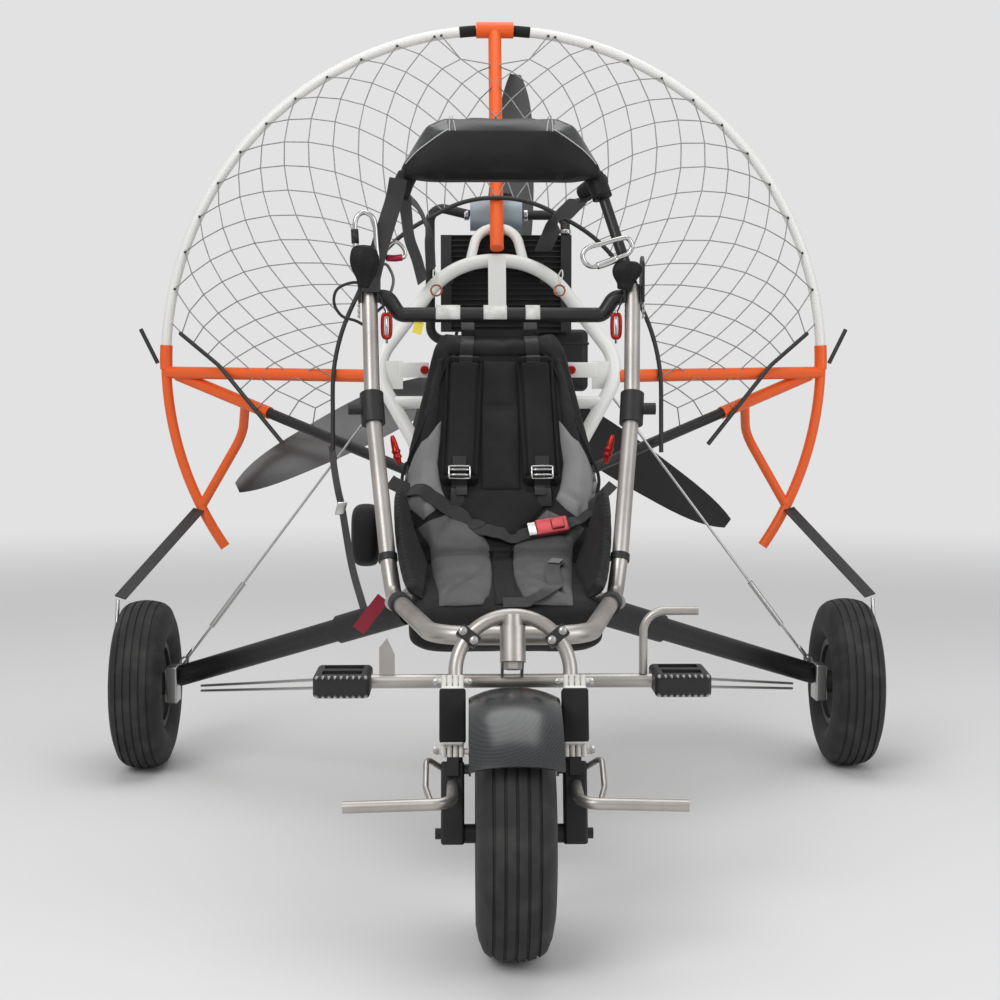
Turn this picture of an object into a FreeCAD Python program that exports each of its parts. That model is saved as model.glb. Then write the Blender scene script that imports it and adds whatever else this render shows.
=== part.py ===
import FreeCAD, Part
import math
import os
import re
from types import SimpleNamespace
from FreeCAD import Placement, Rotation, Vector

# A single-seat powered trike: three wheels, a bent tube seat frame with a padded harness seat,
# a liquid-cooled engine in a white hoop, and a three-bladed pusher propeller in a guard ring.
# Left and right are the pilot's, who faces -Y, so the left is +X.

# Sizes in millimetres and degrees. A setback is the distance behind the front axle.
SIZES = {
    # wheels
    "wheel_radius": 170.0,
    "tyre_width": 106.0,
    "tread_width": 80.0,
    "shoulder_drop": 12.0,
    "tyre_wall": 9.0,
    "rim_radius": 79.0,
    "rim_width": 72.0,
    "rim_flange": 8.0,
    "rim_wall": 4.0,
    "rim_well_depth": 12.0,
    "web_wall": 7.0,
    "web_hole": 30.0,
    "web_hole_count": 5,
    "hub_diameter": 46.0,
    "hub_width": 84.0,
    "axle_diameter": 15.0,
    "bearing_clearance": 0.05,
    "fit_gap": 0.3,
    "wheelbase": 1150.0,
    "track": 1428.0,
    # steering fork
    "fork_rake": 16.0,
    "leg_spacing": 160.0,
    "fork_tube": 20.0,
    "fork_height": 300.0,
    "stem_diameter": 20.0,
    "stem_collar": 30.0,
    "collar_height": 5.0,
    "stem_nut": 26.0,
    "stem_nut_height": 10.0,
    "slider_width": 32.0,
    "slider_depth": 34.0,
    "slider_height": 112.0,
    "slider_foot": 15.0,
    "slider_offset": 84.0,
    "spacer_diameter": 26.0,
    "pack_width": 32.0,
    "pack_depth": 24.0,
    "pack_height": 80.0,
    "pack_bottom": 118.0,
    "pack_front": 24.0,
    "strand_diameter": 7.0,
    "strand_count": 4,
    "strand_length": 112.0,
    "pack_bolt": 8.0,
    "pack_bolt_length": 46.0,
    "ear_front": 25.0,
    "ear_depth": 14.0,
    "ear_height": 40.0,
    "stop_width": 18.0,
    "stop_depth": 24.0,
    "stop_length": 32.0,
    "stop_spread": 62.0,
    "stop_round": 1.5,
    "stem_clearance": 0.2,
    "foot_bar": 16.0,
    "foot_bar_reach": 228.0,
    "foot_bar_height": 228.0,
    "foot_bar_front": 82.0,
    "foot_bar_bend": 26.0,
    "foot_loop": 8.0,
    "foot_loop_spread": 120.0,
    "foot_loop_bend": 14.0,
    "guard_radius": 199.0,
    "guard_half_width": 62.0,
    "guard_crown": 15.0,
    "guard_wall": 3.0,
    "guard_front_angle": 40.0,
    "guard_span": 118.0,
    "bracket_width": 20.0,
    "guard_boss": 14.0,
    # head tube and crossbar
    "head_diameter": 36.0,
    "head_bottom": 234.3,
    "gusset_wall": 4.0,
    "gusset_spread": 28.0,
    "crossbar_diameter": 20.0,
    "crossbar_half": 200.0,
    "crossbar_setback": 120.0,
    "crossbar_height": 359.0,
    "footrest_length": 80.0,
    "footrest_depth": 92.0,
    "footrest_height": 34.0,
    "footrest_pin": 12.0,
    "lever_diameter": 12.0,
    "lever_reach": 266.0,
    "lever_height": 459.0,
    "lever_bend": 30.0,
    "tab_width": 22.0,
    "tab_height": 62.0,
    "tab_wall": 3.0,
    # seat frame
    "frame_tube": 28.0,
    "loop_front_setback": 136.0,
    "loop_height": 422.0,
    "loop_front_half": 112.0,
    "loop_rear_half": 186.0,
    "loop_rear_setback": 560.0,
    "loop_bend": 64.0,
    "splice_height": 486.0,
    "splice_setback": 585.0,
    "splice_half": 197.0,
    "splice_gap": 2.4,
    "splice_sleeve": 33.0,
    "splice_sleeve_length": 12.0,
    "fold_half": 229.0,
    "fold_setback": 720.0,
    "fold_height": 736.0,
    "side_top_half": 238.0,
    "side_top_setback": 806.0,
    "side_top_height": 956.0,
    "side_bend": 420.0,
    "fold_sleeve": 42.0,
    "fold_sleeve_length": 58.0,
    "base_tube": 25.0,
    "base_height": 392.0,
    "base_rear_half": 150.0,
    "base_rear_setback": 1022.0,
    "pivot_tube_setback": 740.0,
    "tank_tube_setback": 935.0,
    "tank_tube_half": 160.0,
    # swing arms and rear axles
    "arm_height": 42.0,
    "arm_depth": 26.0,
    "arm_inset": 46.0,
    "arm_sleeve_height": 52.0,
    "arm_sleeve_depth": 34.0,
    "arm_sleeve_length": 176.0,
    "arm_root_half": 206.0,
    "arm_root_height": 366.0,
    "arm_tip_half": 646.0,
    "arm_tip_height": 186.0,
    "knuckle_wall": 12.0,
    "knuckle_height": 74.0,
    "knuckle_depth": 52.0,
    "stay_diameter": 5.0,
    "turnbuckle": 11.0,
    "turnbuckle_length": 110.0,
    "link_standoff": 23.0,
    "link_eye": 26.0,
    "link_top_setback": 1200.0,
    "link_top_height": 335.0,
    "link_diameter": 8.0,
    "link_wall": 5.0,
    # top of the seat frame
    "plate_wall": 5.0,
    "plate_height": 84.0,
    "plate_width": 50.0,
    "plate_drop": 30.0,
    "hang_hole": 10.0,
    "hang_forward": 12.0,
    "bar_diameter": 20.0,
    "bar_top_half": 176.0,
    "bar_back": 60.0,
    "bar_rise": 204.0,
    "visor_bottom_half": 182.0,
    "visor_side_half": 176.0,
    "visor_top_half": 108.0,
    "visor_rise": 194.0,
    "visor_side_height": 46.0,
    "visor_height": 118.0,
    "visor_depth": 96.0,
    "visor_back": 44.0,
    "spreader_diameter": 27.0,
    "spreader_end_drop": 20.0,
    "spreader_drop": 52.0,
    "spreader_run": 14.0,
    "spreader_step": 20.0,
    "spreader_bend": 18.0,
    # engine hoop and mast
    "hoop_foot_setback": 1010.0,
    "hoop_lean": 17.7,
    "hoop_foot_height": 395.0,
    "hoop_waist_half": 152.0,
    "hoop_waist_drop": 172.0,
    "hoop_side_half": 252.0,
    "hoop_side_height": 812.0,
    "hoop_shoulder_half": 90.0,
    "hoop_crown_rise": 217.0,
    "hoop_bend": 84.0,
    "handle_bend": 42.0,
    "mast_plate_width": 36.0,
    "mast_plate_height": 116.0,
    "mast_plate_drop": 47.0,
    "mast_plate_wall": 5.0,
    "mast_foot_tube": 20.0,
    "mount_spread": 66.0,
    "mount_post": 20.0,
    "mount_bush": 36.0,
    "mount_bush_length": 18.0,
    "side_plate_width": 48.0,
    "side_plate_height": 56.0,
    "side_plate_inset": 38.0,
    "side_plate_drop": 16.0,
    "bracket_height": 42.0,
    "bracket_spread": 92.0,
    "bracket_drop": 25.0,
    "mast_foot_half": 54.0,
    "mast_foot_rise": 24.0,
    "mast_foot_forward": 20.0,
    "handle_rise": 67.0,
    "mast_diameter": 28.0,
    "mast_collar": 34.0,
    "mast_collar_length": 40.0,
    # propeller guard
    "ring_setback": 1440.0,
    "ring_rise": 10.0,
    "ring_radius": 715.0,
    "ring_tube": 22.0,
    "ring_joint_collar": 27.0,
    "ring_joint_length": 26.0,
    "ring_drop_angle": 34.2,
    "arm_bar": 26.0,
    "arm_bar_inset": 12.0,
    "arm_bar_sink": 18.0,
    "arm_bar_drop": 20.0,
    "brace_tube": 20.0,
    "brace_angle": 26.0,
    "strut_tube": 22.0,
    "strut_socket": 26.0,
    "strut_outset": 14.0,
    "strut_sink": 38.0,
    "batten_diameter": 9.0,
    "batten_bend": 60.0,
    "batten_ring_angle": 5.4,
    "batten_ring_inset": 30.0,
    "batten_knee": 25.0,
    "batten_tail": 95.0,
    "guide_out": 36.0,
    "guide_rise": 74.0,
    "arch_foot_half": 332.0,
    "arch_foot_height": 640.0,
    "arch_knee_half": 334.0,
    "arch_knee_rise": 210.0,
    "arch_shoulder_half": 236.0,
    "arch_shoulder_rise": 212.0,
    "arch_crown_half": 62.0,
    "arch_crown_rise": 96.0,
    # engine
    "radiator_width": 270.0,
    "radiator_height": 198.0,
    "radiator_depth": 42.0,
    "radiator_sink": 143.0,
    "radiator_offset": 20.0,
    "radiator_setback": 1268.0,
    "radiator_tank": 22.0,
    "radiator_fin": 1.6,
    "radiator_core": 12.0,
    "radiator_fin_count": 18,
    "tank_diameter": 66.0,
    "tank_length": 108.0,
    "tank_rise": 46.0,
    "tank_setback": 1306.0,
    "tank_foot": 28.0,
    "hose_diameter": 20.0,
    "hose_bend": 27.0,
    "return_reach": 138.0,
    "case_width": 176.0,
    "case_depth": 130.0,
    "case_height": 150.0,
    "case_drop": 28.0,
    "case_setback": 1339.0,
    "case_round": 14.0,
    "barrel_diameter": 92.0,
    "barrel_height": 96.0,
    "barrel_flange": 116.0,
    "barrel_flange_height": 8.0,
    "head_cap_height": 26.0,
    "head_cap_diameter": 104.0,
    "plug_diameter": 16.0,
    "plug_height": 38.0,
    "starter_diameter": 116.0,
    "starter_depth": 26.0,
    "starter_cap": 44.0,
    "starter_cap_depth": 8.0,
    "starter_slot": 15.0,
    "starter_slot_depth": 5.0,
    "starter_slot_count": 8,
    "gearbox_setback": 1430.0,
    "gearbox_depth": 52.0,
    "gearbox_big": 122.0,
    "gearbox_small": 84.0,
    "pipe_diameter": 38.0,
    "pipe_bend": 42.0,
    "chamber_cone": 46.0,
    "chamber_diameter": 92.0,
    "silencer_diameter": 84.0,
    "silencer_length": 240.0,
    "silencer_gap": 10.0,
    "airbox_width": 110.0,
    "airbox_depth": 90.0,
    "airbox_height": 130.0,
    "carburettor_width": 44.0,
    "carburettor_height": 58.0,
    "fuel_width": 260.0,
    "fuel_height": 236.0,
    "fuel_gap": 8.0,
    "fuel_hoop_gap": 24.0,
    "fuel_round": 10.0,
    # propeller
    "propeller_setback": 1535.0,
    "propeller_radius": 650.0,
    "propeller_turn_angle": 86.0,
    "blade_root": 40.0,
    "blade_chord": 112.0,
    "blade_thickness": 15.0,
    "blade_pitch_angle": 34.0,
    "blade_twist_angle": 22.0,
    "blade_count": 3,
    "prop_hub_diameter": 124.0,
    "prop_hub_depth": 46.0,
    "prop_shaft": 34.0,
    "prop_nose": 12.0,
    # harness seat
    "seat_half_width": 178.0,
    "seat_top_half_width": 128.0,
    "seat_front_setback": 430.0,
    "seat_pan_height": 430.0,
    "seat_pan_thickness": 84.0,
    "seat_back_setback": 800.0,
    "seat_back_thickness": 74.0,
    "seat_back_lean": 24.0,
    "seat_back_top": 896.0,
    "seat_shoulder_height": 600.0,
    "pan_lip_depth": 285.0,
    "pan_half_width": 168.0,
    "wing_wall": 20.0,
    "wing_foot_half": 128.0,
    "wing_top_half": 172.0,
    "wing_top": 582.0,
    "wing_length": 270.0,
    "pad_width": 66.0,
    "pad_thickness": 22.0,
    "pad_spread": 140.0,
    "pad_bottom": 600.0,
    "pad_length": 236.0,
    "strap_width": 26.0,
    "strap_wall": 3.0,
}

doc = FreeCAD.newDocument("PoweredTrike")
sheet = doc.addObject("Spreadsheet::Sheet", "Sizes")
for row, (alias, value) in enumerate(SIZES.items(), start=1):
    sheet.set(f"A{row}", alias)
    sheet.set(f"B{row}", str(value))
    sheet.setAlias(f"B{row}", alias)
doc.recompute()
size = SimpleNamespace(**{alias: float(sheet.get(alias)) for alias in SIZES})

X = Vector(1, 0, 0)
Y = Vector(0, 1, 0)
Z = Vector(0, 0, 1)
SIDES = {"left": 1, "right": -1}
FULL_TURN = 360.0
QUARTER_TURN = 90.0
nodes = []


def bind(thing, **formulas):
    """Tie properties to the sheet: each formula is written in the sheet's own names."""
    for prop, formula in formulas.items():
        thing.setExpression(prop, re.sub(r"[a-z][a-z_]*", lambda word: "Sizes." + word.group(), formula))
    return thing


def piece(label, *members, separate=False):
    """Name one sub-part: a single object, a welded group, or like pieces that don't touch."""
    whole = members[0]
    if len(members) > 1 and separate:
        whole = doc.addObject("Part::Compound", label)
        whole.Links = list(members)
    elif len(members) > 1:
        whole = doc.addObject("Part::MultiFuse", label)
        whole.Shapes = list(members)
    whole.Label = label
    nodes.append(whole)
    return whole


def cut(name, base, *tools):
    """The base with the tools' material taken away."""
    for number, tool in enumerate(tools):
        trimmed = doc.addObject("Part::Cut", f"{name}_{number}")
        trimmed.Base = base
        trimmed.Tool = tool
        base = trimmed
    return base


def rod(name, start, end, diameter):
    """A round bar from start to end."""
    bar = doc.addObject("Part::Cylinder", name)
    bind(bar, Radius=f"({diameter}) / 2")
    bar.Height = (end - start).Length
    bar.Placement = Placement(start, Rotation(Z, end - start))
    return bar


def disc(name, centre, axis, diameter, thickness):
    """A round disc or hub, thickness deep, centred on its axis."""
    wheel = doc.addObject("Part::Cylinder", name)
    bind(wheel, Radius=f"({diameter}) / 2", Height=thickness)
    wheel.recompute()
    turn = Rotation(Z, axis)
    wheel.Placement = Placement(centre - turn.multVec(Z) * (wheel.Height.Value / 2), turn)
    return wheel


def block(name, centre, width, depth, height, frame=Placement(), rounding=None):
    """A box centred on a point of its frame, with all edges rounded where a radius is given."""
    box = doc.addObject("Part::Box", name)
    bind(box, Length=width, Width=depth, Height=height)
    box.recompute()
    half = Vector(box.Length.Value, box.Width.Value, box.Height.Value) / 2
    box.Placement = frame * Placement(centre - half, Rotation())
    if rounding is None:
        return box
    box.recompute()
    smooth = doc.addObject("Part::Fillet", name + "_rounded")
    smooth.Base = box
    smooth.Edges = [(number + 1, rounding, rounding) for number in range(len(box.Shape.Edges))]
    return smooth


def bent_line(points, bends):
    """A wire of straight runs joined by tangent arcs, one bend radius for each inner point."""
    edges = []
    start = points[0]
    for number, corner in enumerate(points[1:-1]):
        before = (corner - points[number]).normalize()
        after = (points[number + 2] - corner).normalize()
        turn = before.getAngle(after)
        reach = bends[number] * math.tan(turn / 2)
        arc_start = corner - before * reach
        arc_end = corner + after * reach
        inward = (after - before).normalize()
        depth = bends[number] / math.cos(turn / 2) - bends[number]
        if (arc_start - start).Length > size.bearing_clearance:
            edges.append(Part.LineSegment(start, arc_start).toShape())
        edges.append(Part.Arc(arc_start, corner + inward * depth, arc_end).toShape())
        start = arc_end
    edges.append(Part.LineSegment(start, points[-1]).toShape())
    return Part.Wire(edges)


def sweep(name, route, diameter):
    """A round section carried along a wire."""
    spine = doc.addObject("Part::Feature", name + "_line")
    spine.Shape = route
    section = doc.addObject("Part::Circle", name + "_section")
    bind(section, Radius=f"({diameter}) / 2")
    first = route.Edges[0]
    section.Placement = Placement(first.valueAt(first.FirstParameter),
                                  Rotation(Z, first.tangentAt(first.FirstParameter)))
    pipe = doc.addObject("Part::Sweep", name)
    pipe.Sections = [section]
    pipe.Spine = (spine, [f"Edge{number + 1}" for number in range(len(route.Edges))])
    pipe.Solid = True
    return pipe


def tube(name, points, bend, diameter):
    """A bent round tube; bend is one radius, or one for each inner point."""
    bends = bend if isinstance(bend, (list, tuple)) else [bend for inner_point in points[1:-1]]
    return sweep(name, bent_line(points, bends), diameter)


def run_bends(points, shares):
    """A bend radius for each inner point, its arc taking a share of the shorter run beside it."""
    bends = []
    for number, share in enumerate(shares):
        before = points[number + 1] - points[number]
        after = points[number + 2] - points[number + 1]
        turn = before.getAngle(after)
        bends.append(share * min(before.Length, after.Length) / math.tan(turn / 2))
    return bends


def both_sides(points):
    """The points of the left half, then the same ones mirrored back along the right."""
    return points + [Vector(-point.x, point.y, point.z) for point in reversed(points)]


def band(name, start, end, width, wall):
    """A flat strap from start to end, its wide face to the front."""
    strap = doc.addObject("Part::Box", name)
    bind(strap, Length=width, Width=wall)
    strap.Height = (end - start).Length
    strap.recompute()
    turn = Rotation(X, Y, (end - start).normalize(), "ZXY")
    corner = Vector(strap.Length.Value / 2, strap.Width.Value / 2, 0)
    strap.Placement = Placement(start - turn.multVec(corner), turn)
    return strap


def plane_of(body, role):
    """The named origin plane of a body."""
    return next(plane for plane in body.Origin.OriginFeatures if plane.Role == role)


def sketch_on(body, name, role, edges, offset=Placement()):
    """A closed sketch on one of the body's origin planes."""
    sketch = body.newObject("Sketcher::SketchObject", name)
    sketch.AttachmentSupport = (plane_of(body, role), [""])
    sketch.MapMode = "FlatFace"
    sketch.AttachmentOffset = offset
    for edge in edges:
        sketch.addGeometry(edge)
    return sketch


def outline(*corners):
    """Straight edges round the given (across, up) corners."""
    points = [Vector(across, up, 0) for across, up in corners]
    return [Part.LineSegment(start, end) for start, end in zip(points, points[1:] + points[:1])]


def arc(start, middle, end):
    """A sketch arc through three (across, up) points."""
    return Part.Arc(Vector(*start, 0), Vector(*middle, 0), Vector(*end, 0))


def line(start, end):
    """A sketch line between two (across, up) points."""
    return Part.LineSegment(Vector(*start, 0), Vector(*end, 0))


def padded_body(name, role, edges, thickness, frame=Placement()):
    """A plate or slab: a sketch padded by the same amount to each side of its plane."""
    body = doc.addObject("PartDesign::Body", name)
    sketch = sketch_on(body, name + "_outline", role, edges)
    pad = body.newObject("PartDesign::Pad", name + "_pad")
    pad.Profile = sketch
    pad.SideType = "Symmetric"
    bind(pad, Length=thickness)
    body.Placement = frame
    return body


def revolved_body(name, role, edges, angle=FULL_TURN, frame=Placement()):
    """A turned piece: a sketch revolved about its own horizontal axis."""
    body = doc.addObject("PartDesign::Body", name)
    sketch = sketch_on(body, name + "_profile", role, edges)
    turned = body.newObject("PartDesign::Revolution", name + "_turned")
    turned.Profile = sketch
    turned.ReferenceAxis = (sketch, ["H_Axis"])
    turned.Angle = angle
    body.Placement = frame
    return body


# The machine's length runs from the front tyre to the propeller's nose; the origin is halfway.
overall_rear = size.propeller_setback + size.prop_hub_depth / 2 + size.prop_nose
origin_setback = (overall_rear - size.wheel_radius) / 2


def at(across, setback, height):
    """A point of the machine, its setback counted from the front axle."""
    return Vector(across, setback - origin_setback, height)


# Wheels: ribbed tyres on two-flange rims, all alike; the front one runs in the fork.
def tyre_outline():
    """The tyre's section: a rounded casing, open to the rim between its beads."""
    radius = size.wheel_radius
    tread = size.tread_width / 2
    side = size.tyre_width / 2
    shoulder = radius - size.shoulder_drop
    bead = size.rim_radius + size.fit_gap
    heel = bead + size.rim_flange
    bead_side = size.rim_width / 2 - size.rim_wall - size.fit_gap
    belly = (shoulder + heel) / 2
    wall = size.tyre_wall
    return [
        arc((-tread, shoulder), (0, radius), (tread, shoulder)),
        arc((tread, shoulder), (side, belly), (bead_side, heel)),
        line((bead_side, heel), (bead_side, bead)),
        line((bead_side, bead), (bead_side - wall, bead)),
        line((bead_side - wall, bead), (bead_side - wall, heel)),
        arc((bead_side - wall, heel), (side - wall, belly), (tread - wall, shoulder - wall)),
        arc((tread - wall, shoulder - wall), (0, radius - wall), (wall - tread, shoulder - wall)),
        arc((wall - tread, shoulder - wall), (wall - side, belly), (wall - bead_side, heel)),
        line((wall - bead_side, heel), (wall - bead_side, bead)),
        line((wall - bead_side, bead), (-bead_side, bead)),
        line((-bead_side, bead), (-bead_side, heel)),
        arc((-bead_side, heel), (-side, belly), (-tread, shoulder)),
    ]


def rim_outline():
    """The rim's section: flange, bead seat and well, a flat web and a hub barrel with its bore."""
    bore = size.axle_diameter / 2 + size.bearing_clearance
    barrel = size.hub_diameter / 2
    hub = size.hub_width / 2
    web = size.web_wall / 2
    side = size.rim_width / 2
    seat = size.rim_radius
    wall = size.rim_wall
    well = seat - size.rim_well_depth
    well_half = side / 2
    return outline(
        (-hub, bore), (hub, bore), (hub, barrel), (web, barrel),
        (web, well - wall), (well_half - wall, well - wall), (side - 2 * wall, seat - wall),
        (side, seat - wall), (side, seat + size.rim_flange), (side - wall, seat + size.rim_flange),
        (side - wall, seat), (side - 2 * wall - wall, seat), (well_half, well), (-well_half, well),
        (3 * wall - side, seat), (wall - side, seat), (wall - side, seat + size.rim_flange),
        (-side, seat + size.rim_flange), (-side, seat - wall), (2 * wall - side, seat - wall),
        (wall - well_half, well - wall), (-web, well - wall), (-web, barrel), (-hub, barrel))


def rim_body(name, centre):
    """A turned rim with a ring of round lightening holes through its web."""
    body = revolved_body(name, "XZ_Plane", rim_outline())
    hole_at = (size.hub_diameter / 2 + size.rim_radius - size.rim_well_depth - size.rim_wall) / 2
    hole = Part.Circle(Vector(0, hole_at, 0), Z, size.web_hole / 2)
    sketch = sketch_on(body, name + "_hole", "YZ_Plane", [hole])
    pocket = body.newObject("PartDesign::Pocket", name + "_pocket")
    pocket.Profile = sketch
    pocket.SideType = "Symmetric"
    bind(pocket, Length="hub_width")
    ring = body.newObject("PartDesign::PolarPattern", name + "_holes")
    ring.Originals = [pocket]
    ring.Axis = (next(axis for axis in body.Origin.OriginFeatures if axis.Role == "X_Axis"), [""])
    ring.Angle = FULL_TURN
    bind(ring, Occurrences="web_hole_count")
    body.Tip = ring
    body.Placement = Placement(centre, Rotation())
    return body


front_axle = at(0, 0, size.wheel_radius)
wheel_centres = {"front": front_axle}
for side_name, side in SIDES.items():
    wheel_centres["rear_" + side_name] = at(side * size.track / 2, size.wheelbase, size.wheel_radius)
for wheel_name, centre in wheel_centres.items():
    casing = revolved_body(wheel_name + "_tyre", "XZ_Plane", tyre_outline(), FULL_TURN,
                           Placement(centre, Rotation()))
    piece(wheel_name + "_tyre", casing)
    piece(wheel_name + "_rim", rim_body(wheel_name + "_rim", centre))

# Steering fork: a bent arch over the wheel, raked back, turning in the head tube on its stem.
fork_frame = Placement(front_axle, Rotation(X, -size.fork_rake))


def fork(across, back, up):
    """A point given in the raked frame of the fork, measured from the axle."""
    return fork_frame.multVec(Vector(across, back, up))


leg = size.leg_spacing / 2
arch_spring = size.fork_height - leg
slider_top = size.slider_height - size.slider_foot
arch_line = Part.Wire([
    Part.LineSegment(fork(-leg, 0, slider_top + size.fit_gap), fork(-leg, 0, arch_spring)).toShape(),
    Part.Arc(fork(-leg, 0, arch_spring), fork(0, 0, size.fork_height), fork(leg, 0, arch_spring)).toShape(),
    Part.LineSegment(fork(leg, 0, arch_spring), fork(leg, 0, slider_top + size.fit_gap)).toShape(),
])
arch_bow = sweep("arch_bow", arch_line, "fork_tube")
head_length = size.fork_height - size.fork_tube / 2 - size.collar_height - size.head_bottom - size.fit_gap
head_top = size.head_bottom + head_length
stem_bottom = size.head_bottom - size.fit_gap - size.stem_nut_height
stem = rod("stem", fork(0, 0, stem_bottom), fork(0, 0, size.fork_height), "stem_diameter")
stem_collar = rod("stem_collar_ring", fork(0, 0, head_top + size.fit_gap), fork(0, 0, size.fork_height),
                  "stem_collar")
stem_nut = doc.addObject("Part::Prism", "stem_nut_hexagon")
stem_nut.Polygon = 6
bind(stem_nut, Circumradius="stem_nut / 2", Height="stem_nut_height")
stem_nut.Placement = fork_frame * Placement(Vector(0, 0, stem_bottom), Rotation())
bolt_back = size.pack_bolt / 2 - size.pack_front
strand_base = size.pack_bottom - (size.strand_length - size.pack_height) / 2
strand_top = strand_base + size.strand_length
lugs = []
for side_name, side in SIDES.items():
    lugs.append(rod("lug_" + side_name, fork(side * leg, 0, strand_top - size.pack_bolt),
                    fork(side * leg, bolt_back, strand_top - size.pack_bolt), "pack_bolt * 2"))
fork_arch = piece("fork_arch", arch_bow, stem, stem_collar, stem_nut, *lugs)

# Two split clamps on the arch, which meet the seat loop at full lock.
stops = []
stop_rise = math.sqrt(leg ** 2 - size.stop_spread ** 2)
for side_name, side in SIDES.items():
    stop_slope = math.degrees(math.atan2(stop_rise, size.stop_spread))
    stop_turn = Rotation(Y, side * (stop_slope - QUARTER_TURN))
    stop_frame = fork_frame * Placement(
        Vector(side * size.stop_spread, 0, arch_spring + stop_rise), stop_turn.inverted())
    stop = block("stop_block_" + side_name, Vector(), "stop_width", "stop_depth", "stop_length",
                 stop_frame, size.stop_round)
    stops.append(cut("stop_" + side_name, stop, arch_bow))
piece("stop_clamps", *stops, separate=True)

# Lower legs: black slider blocks that hold the axle between them.
sliders = []
for side_name, side in SIDES.items():
    middle = side * size.slider_offset
    sliders.append(block("slider_" + side_name, Vector(middle, 0, size.slider_height / 2 - size.slider_foot),
                         "slider_width", "slider_depth", "slider_height", fork_frame,
                         size.strand_diameter / 2))
    inner = size.slider_offset - size.slider_width / 2
    spacer = rod("spacer_" + side_name, fork(side * (size.hub_width / 2 + size.fit_gap), 0, 0),
                 fork(side * (inner + size.fork_tube / 2), 0, 0), "spacer_diameter")
    ear = block("pack_ear_" + side_name, Vector(middle, size.ear_depth / 2 - size.ear_front, slider_top),
                "slider_width / 2", "ear_depth", "ear_height", fork_frame)
    sliders += [spacer, ear]
axle_reach = size.slider_offset + size.slider_width / 2 + size.pack_bolt
sliders.append(rod("front_axle", fork(-axle_reach, 0, 0), fork(axle_reach, 0, 0), "axle_diameter"))
fork_sliders = piece("fork_sliders", *sliders)

# Rubber-band suspension: a sleeved pack of bands before each leg, looped over two bolts.
packs = []
for side_name, side in SIDES.items():
    middle = side * size.slider_offset
    sleeve_middle = Vector(middle, -size.pack_front, size.pack_bottom + size.pack_height / 2)
    sleeve = block("pack_sleeve_" + side_name, sleeve_middle, "pack_width", "pack_depth", "pack_height",
                   fork_frame, size.strand_diameter / 2)
    members = [sleeve]
    pitch = size.pack_width / size.strand_count
    for number in range(int(size.strand_count)):
        across = middle + pitch * (number + 1 / 2) - size.pack_width / 2
        members.append(rod(f"strand_{side_name}_{number}", fork(across, -size.pack_front, strand_base),
                           fork(across, -size.pack_front, strand_top), "strand_diameter"))
    for bolt_name, bolt_up in (("low", strand_base + size.pack_bolt), ("high", strand_top - size.pack_bolt)):
        bolt = disc(f"pack_bolt_{side_name}_{bolt_name}", fork(middle, bolt_back, bolt_up), X,
                    "pack_bolt", "pack_bolt_length")
        members.append(bolt)
    bundle = doc.addObject("Part::MultiFuse", "pack_" + side_name)
    bundle.Shapes = members
    packs.append(cut("pack_trimmed_" + side_name, bundle, fork_arch, fork_sliders))
piece("bungee_packs", *packs, separate=True)

# Foot bars to steer with, and a thin loop beside each foot.
FOOT_ROOT_SHARE = 0.55
FOOT_LOOP_SHARE = 0.4
bars = []
slider_face = size.slider_depth / 2 + size.fit_gap
for side_name, side in SIDES.items():
    root = fork(side * size.slider_offset, -slider_face, size.pack_bottom * FOOT_ROOT_SHARE)
    knee = at(side * size.slider_offset, -size.foot_bar_front, size.foot_bar_height + size.foot_bar / 4)
    tip = at(side * size.foot_bar_reach, -size.foot_bar_front, size.foot_bar_height)
    bars.append(tube("foot_bar_" + side_name, [root, knee, tip], size.foot_bar_bend, "foot_bar"))
    loop_top = fork(side * (size.slider_offset + size.slider_width / 2), 0, slider_top - size.foot_loop)
    high = at(side * size.foot_loop_spread, size.foot_loop,
              size.foot_bar_height + size.slider_height * FOOT_LOOP_SHARE)
    low = at(side * size.foot_loop_spread, -size.foot_bar_front / 2, size.foot_bar_height + size.foot_bar)
    join = at(side * (size.slider_offset + size.foot_bar_bend), -size.foot_bar_front, size.foot_bar_height)
    loop_path = [loop_top, high, low, join]
    bars.append(tube("foot_loop_" + side_name, loop_path, size.foot_loop_bend, "foot_loop"))
bars_whole = doc.addObject("Part::MultiFuse", "bars_whole")
bars_whole.Shapes = bars
piece("foot_bars", cut("bars_trimmed", bars_whole, fork_sliders))

# Mudguard: a crowned shell turned about the axle, on two straps from the slider blocks.
crown = size.guard_radius - size.guard_crown
shell_in = size.guard_wall
half = size.guard_half_width
inner_half = half - shell_in
inner_crown = crown - shell_in
guard = revolved_body("guard_shell", "XZ_Plane", [
    arc((-half, crown), (0, size.guard_radius), (half, crown)),
    line((half, crown), (inner_half, inner_crown)),
    arc((inner_half, inner_crown), (0, size.guard_radius - shell_in), (-inner_half, inner_crown)),
    line((-inner_half, inner_crown), (-half, crown)),
], size.guard_span)
guard.Placement = Placement(front_axle, Rotation(X, QUARTER_TURN - size.guard_front_angle - size.guard_span))
guard_parts = [guard]
boss_up = slider_top - size.bracket_width / 2
strap_middle = (slider_top - size.bracket_width + crown) / 2
for side_name, side in SIDES.items():
    guard_parts.append(block(
        "guard_strap_" + side_name, Vector(side * (half - shell_in / 2), 0, strap_middle), "guard_wall",
        "bracket_width", "guard_radius - guard_crown - slider_height + slider_foot + bracket_width",
        fork_frame))
    guard_parts.append(rod("guard_boss_" + side_name, fork(side * (half - shell_in / 2), 0, boss_up),
                           fork(side * (size.slider_offset - size.slider_width / 2), 0, boss_up),
                           "guard_boss"))
piece("mudguard", *guard_parts)

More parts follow.
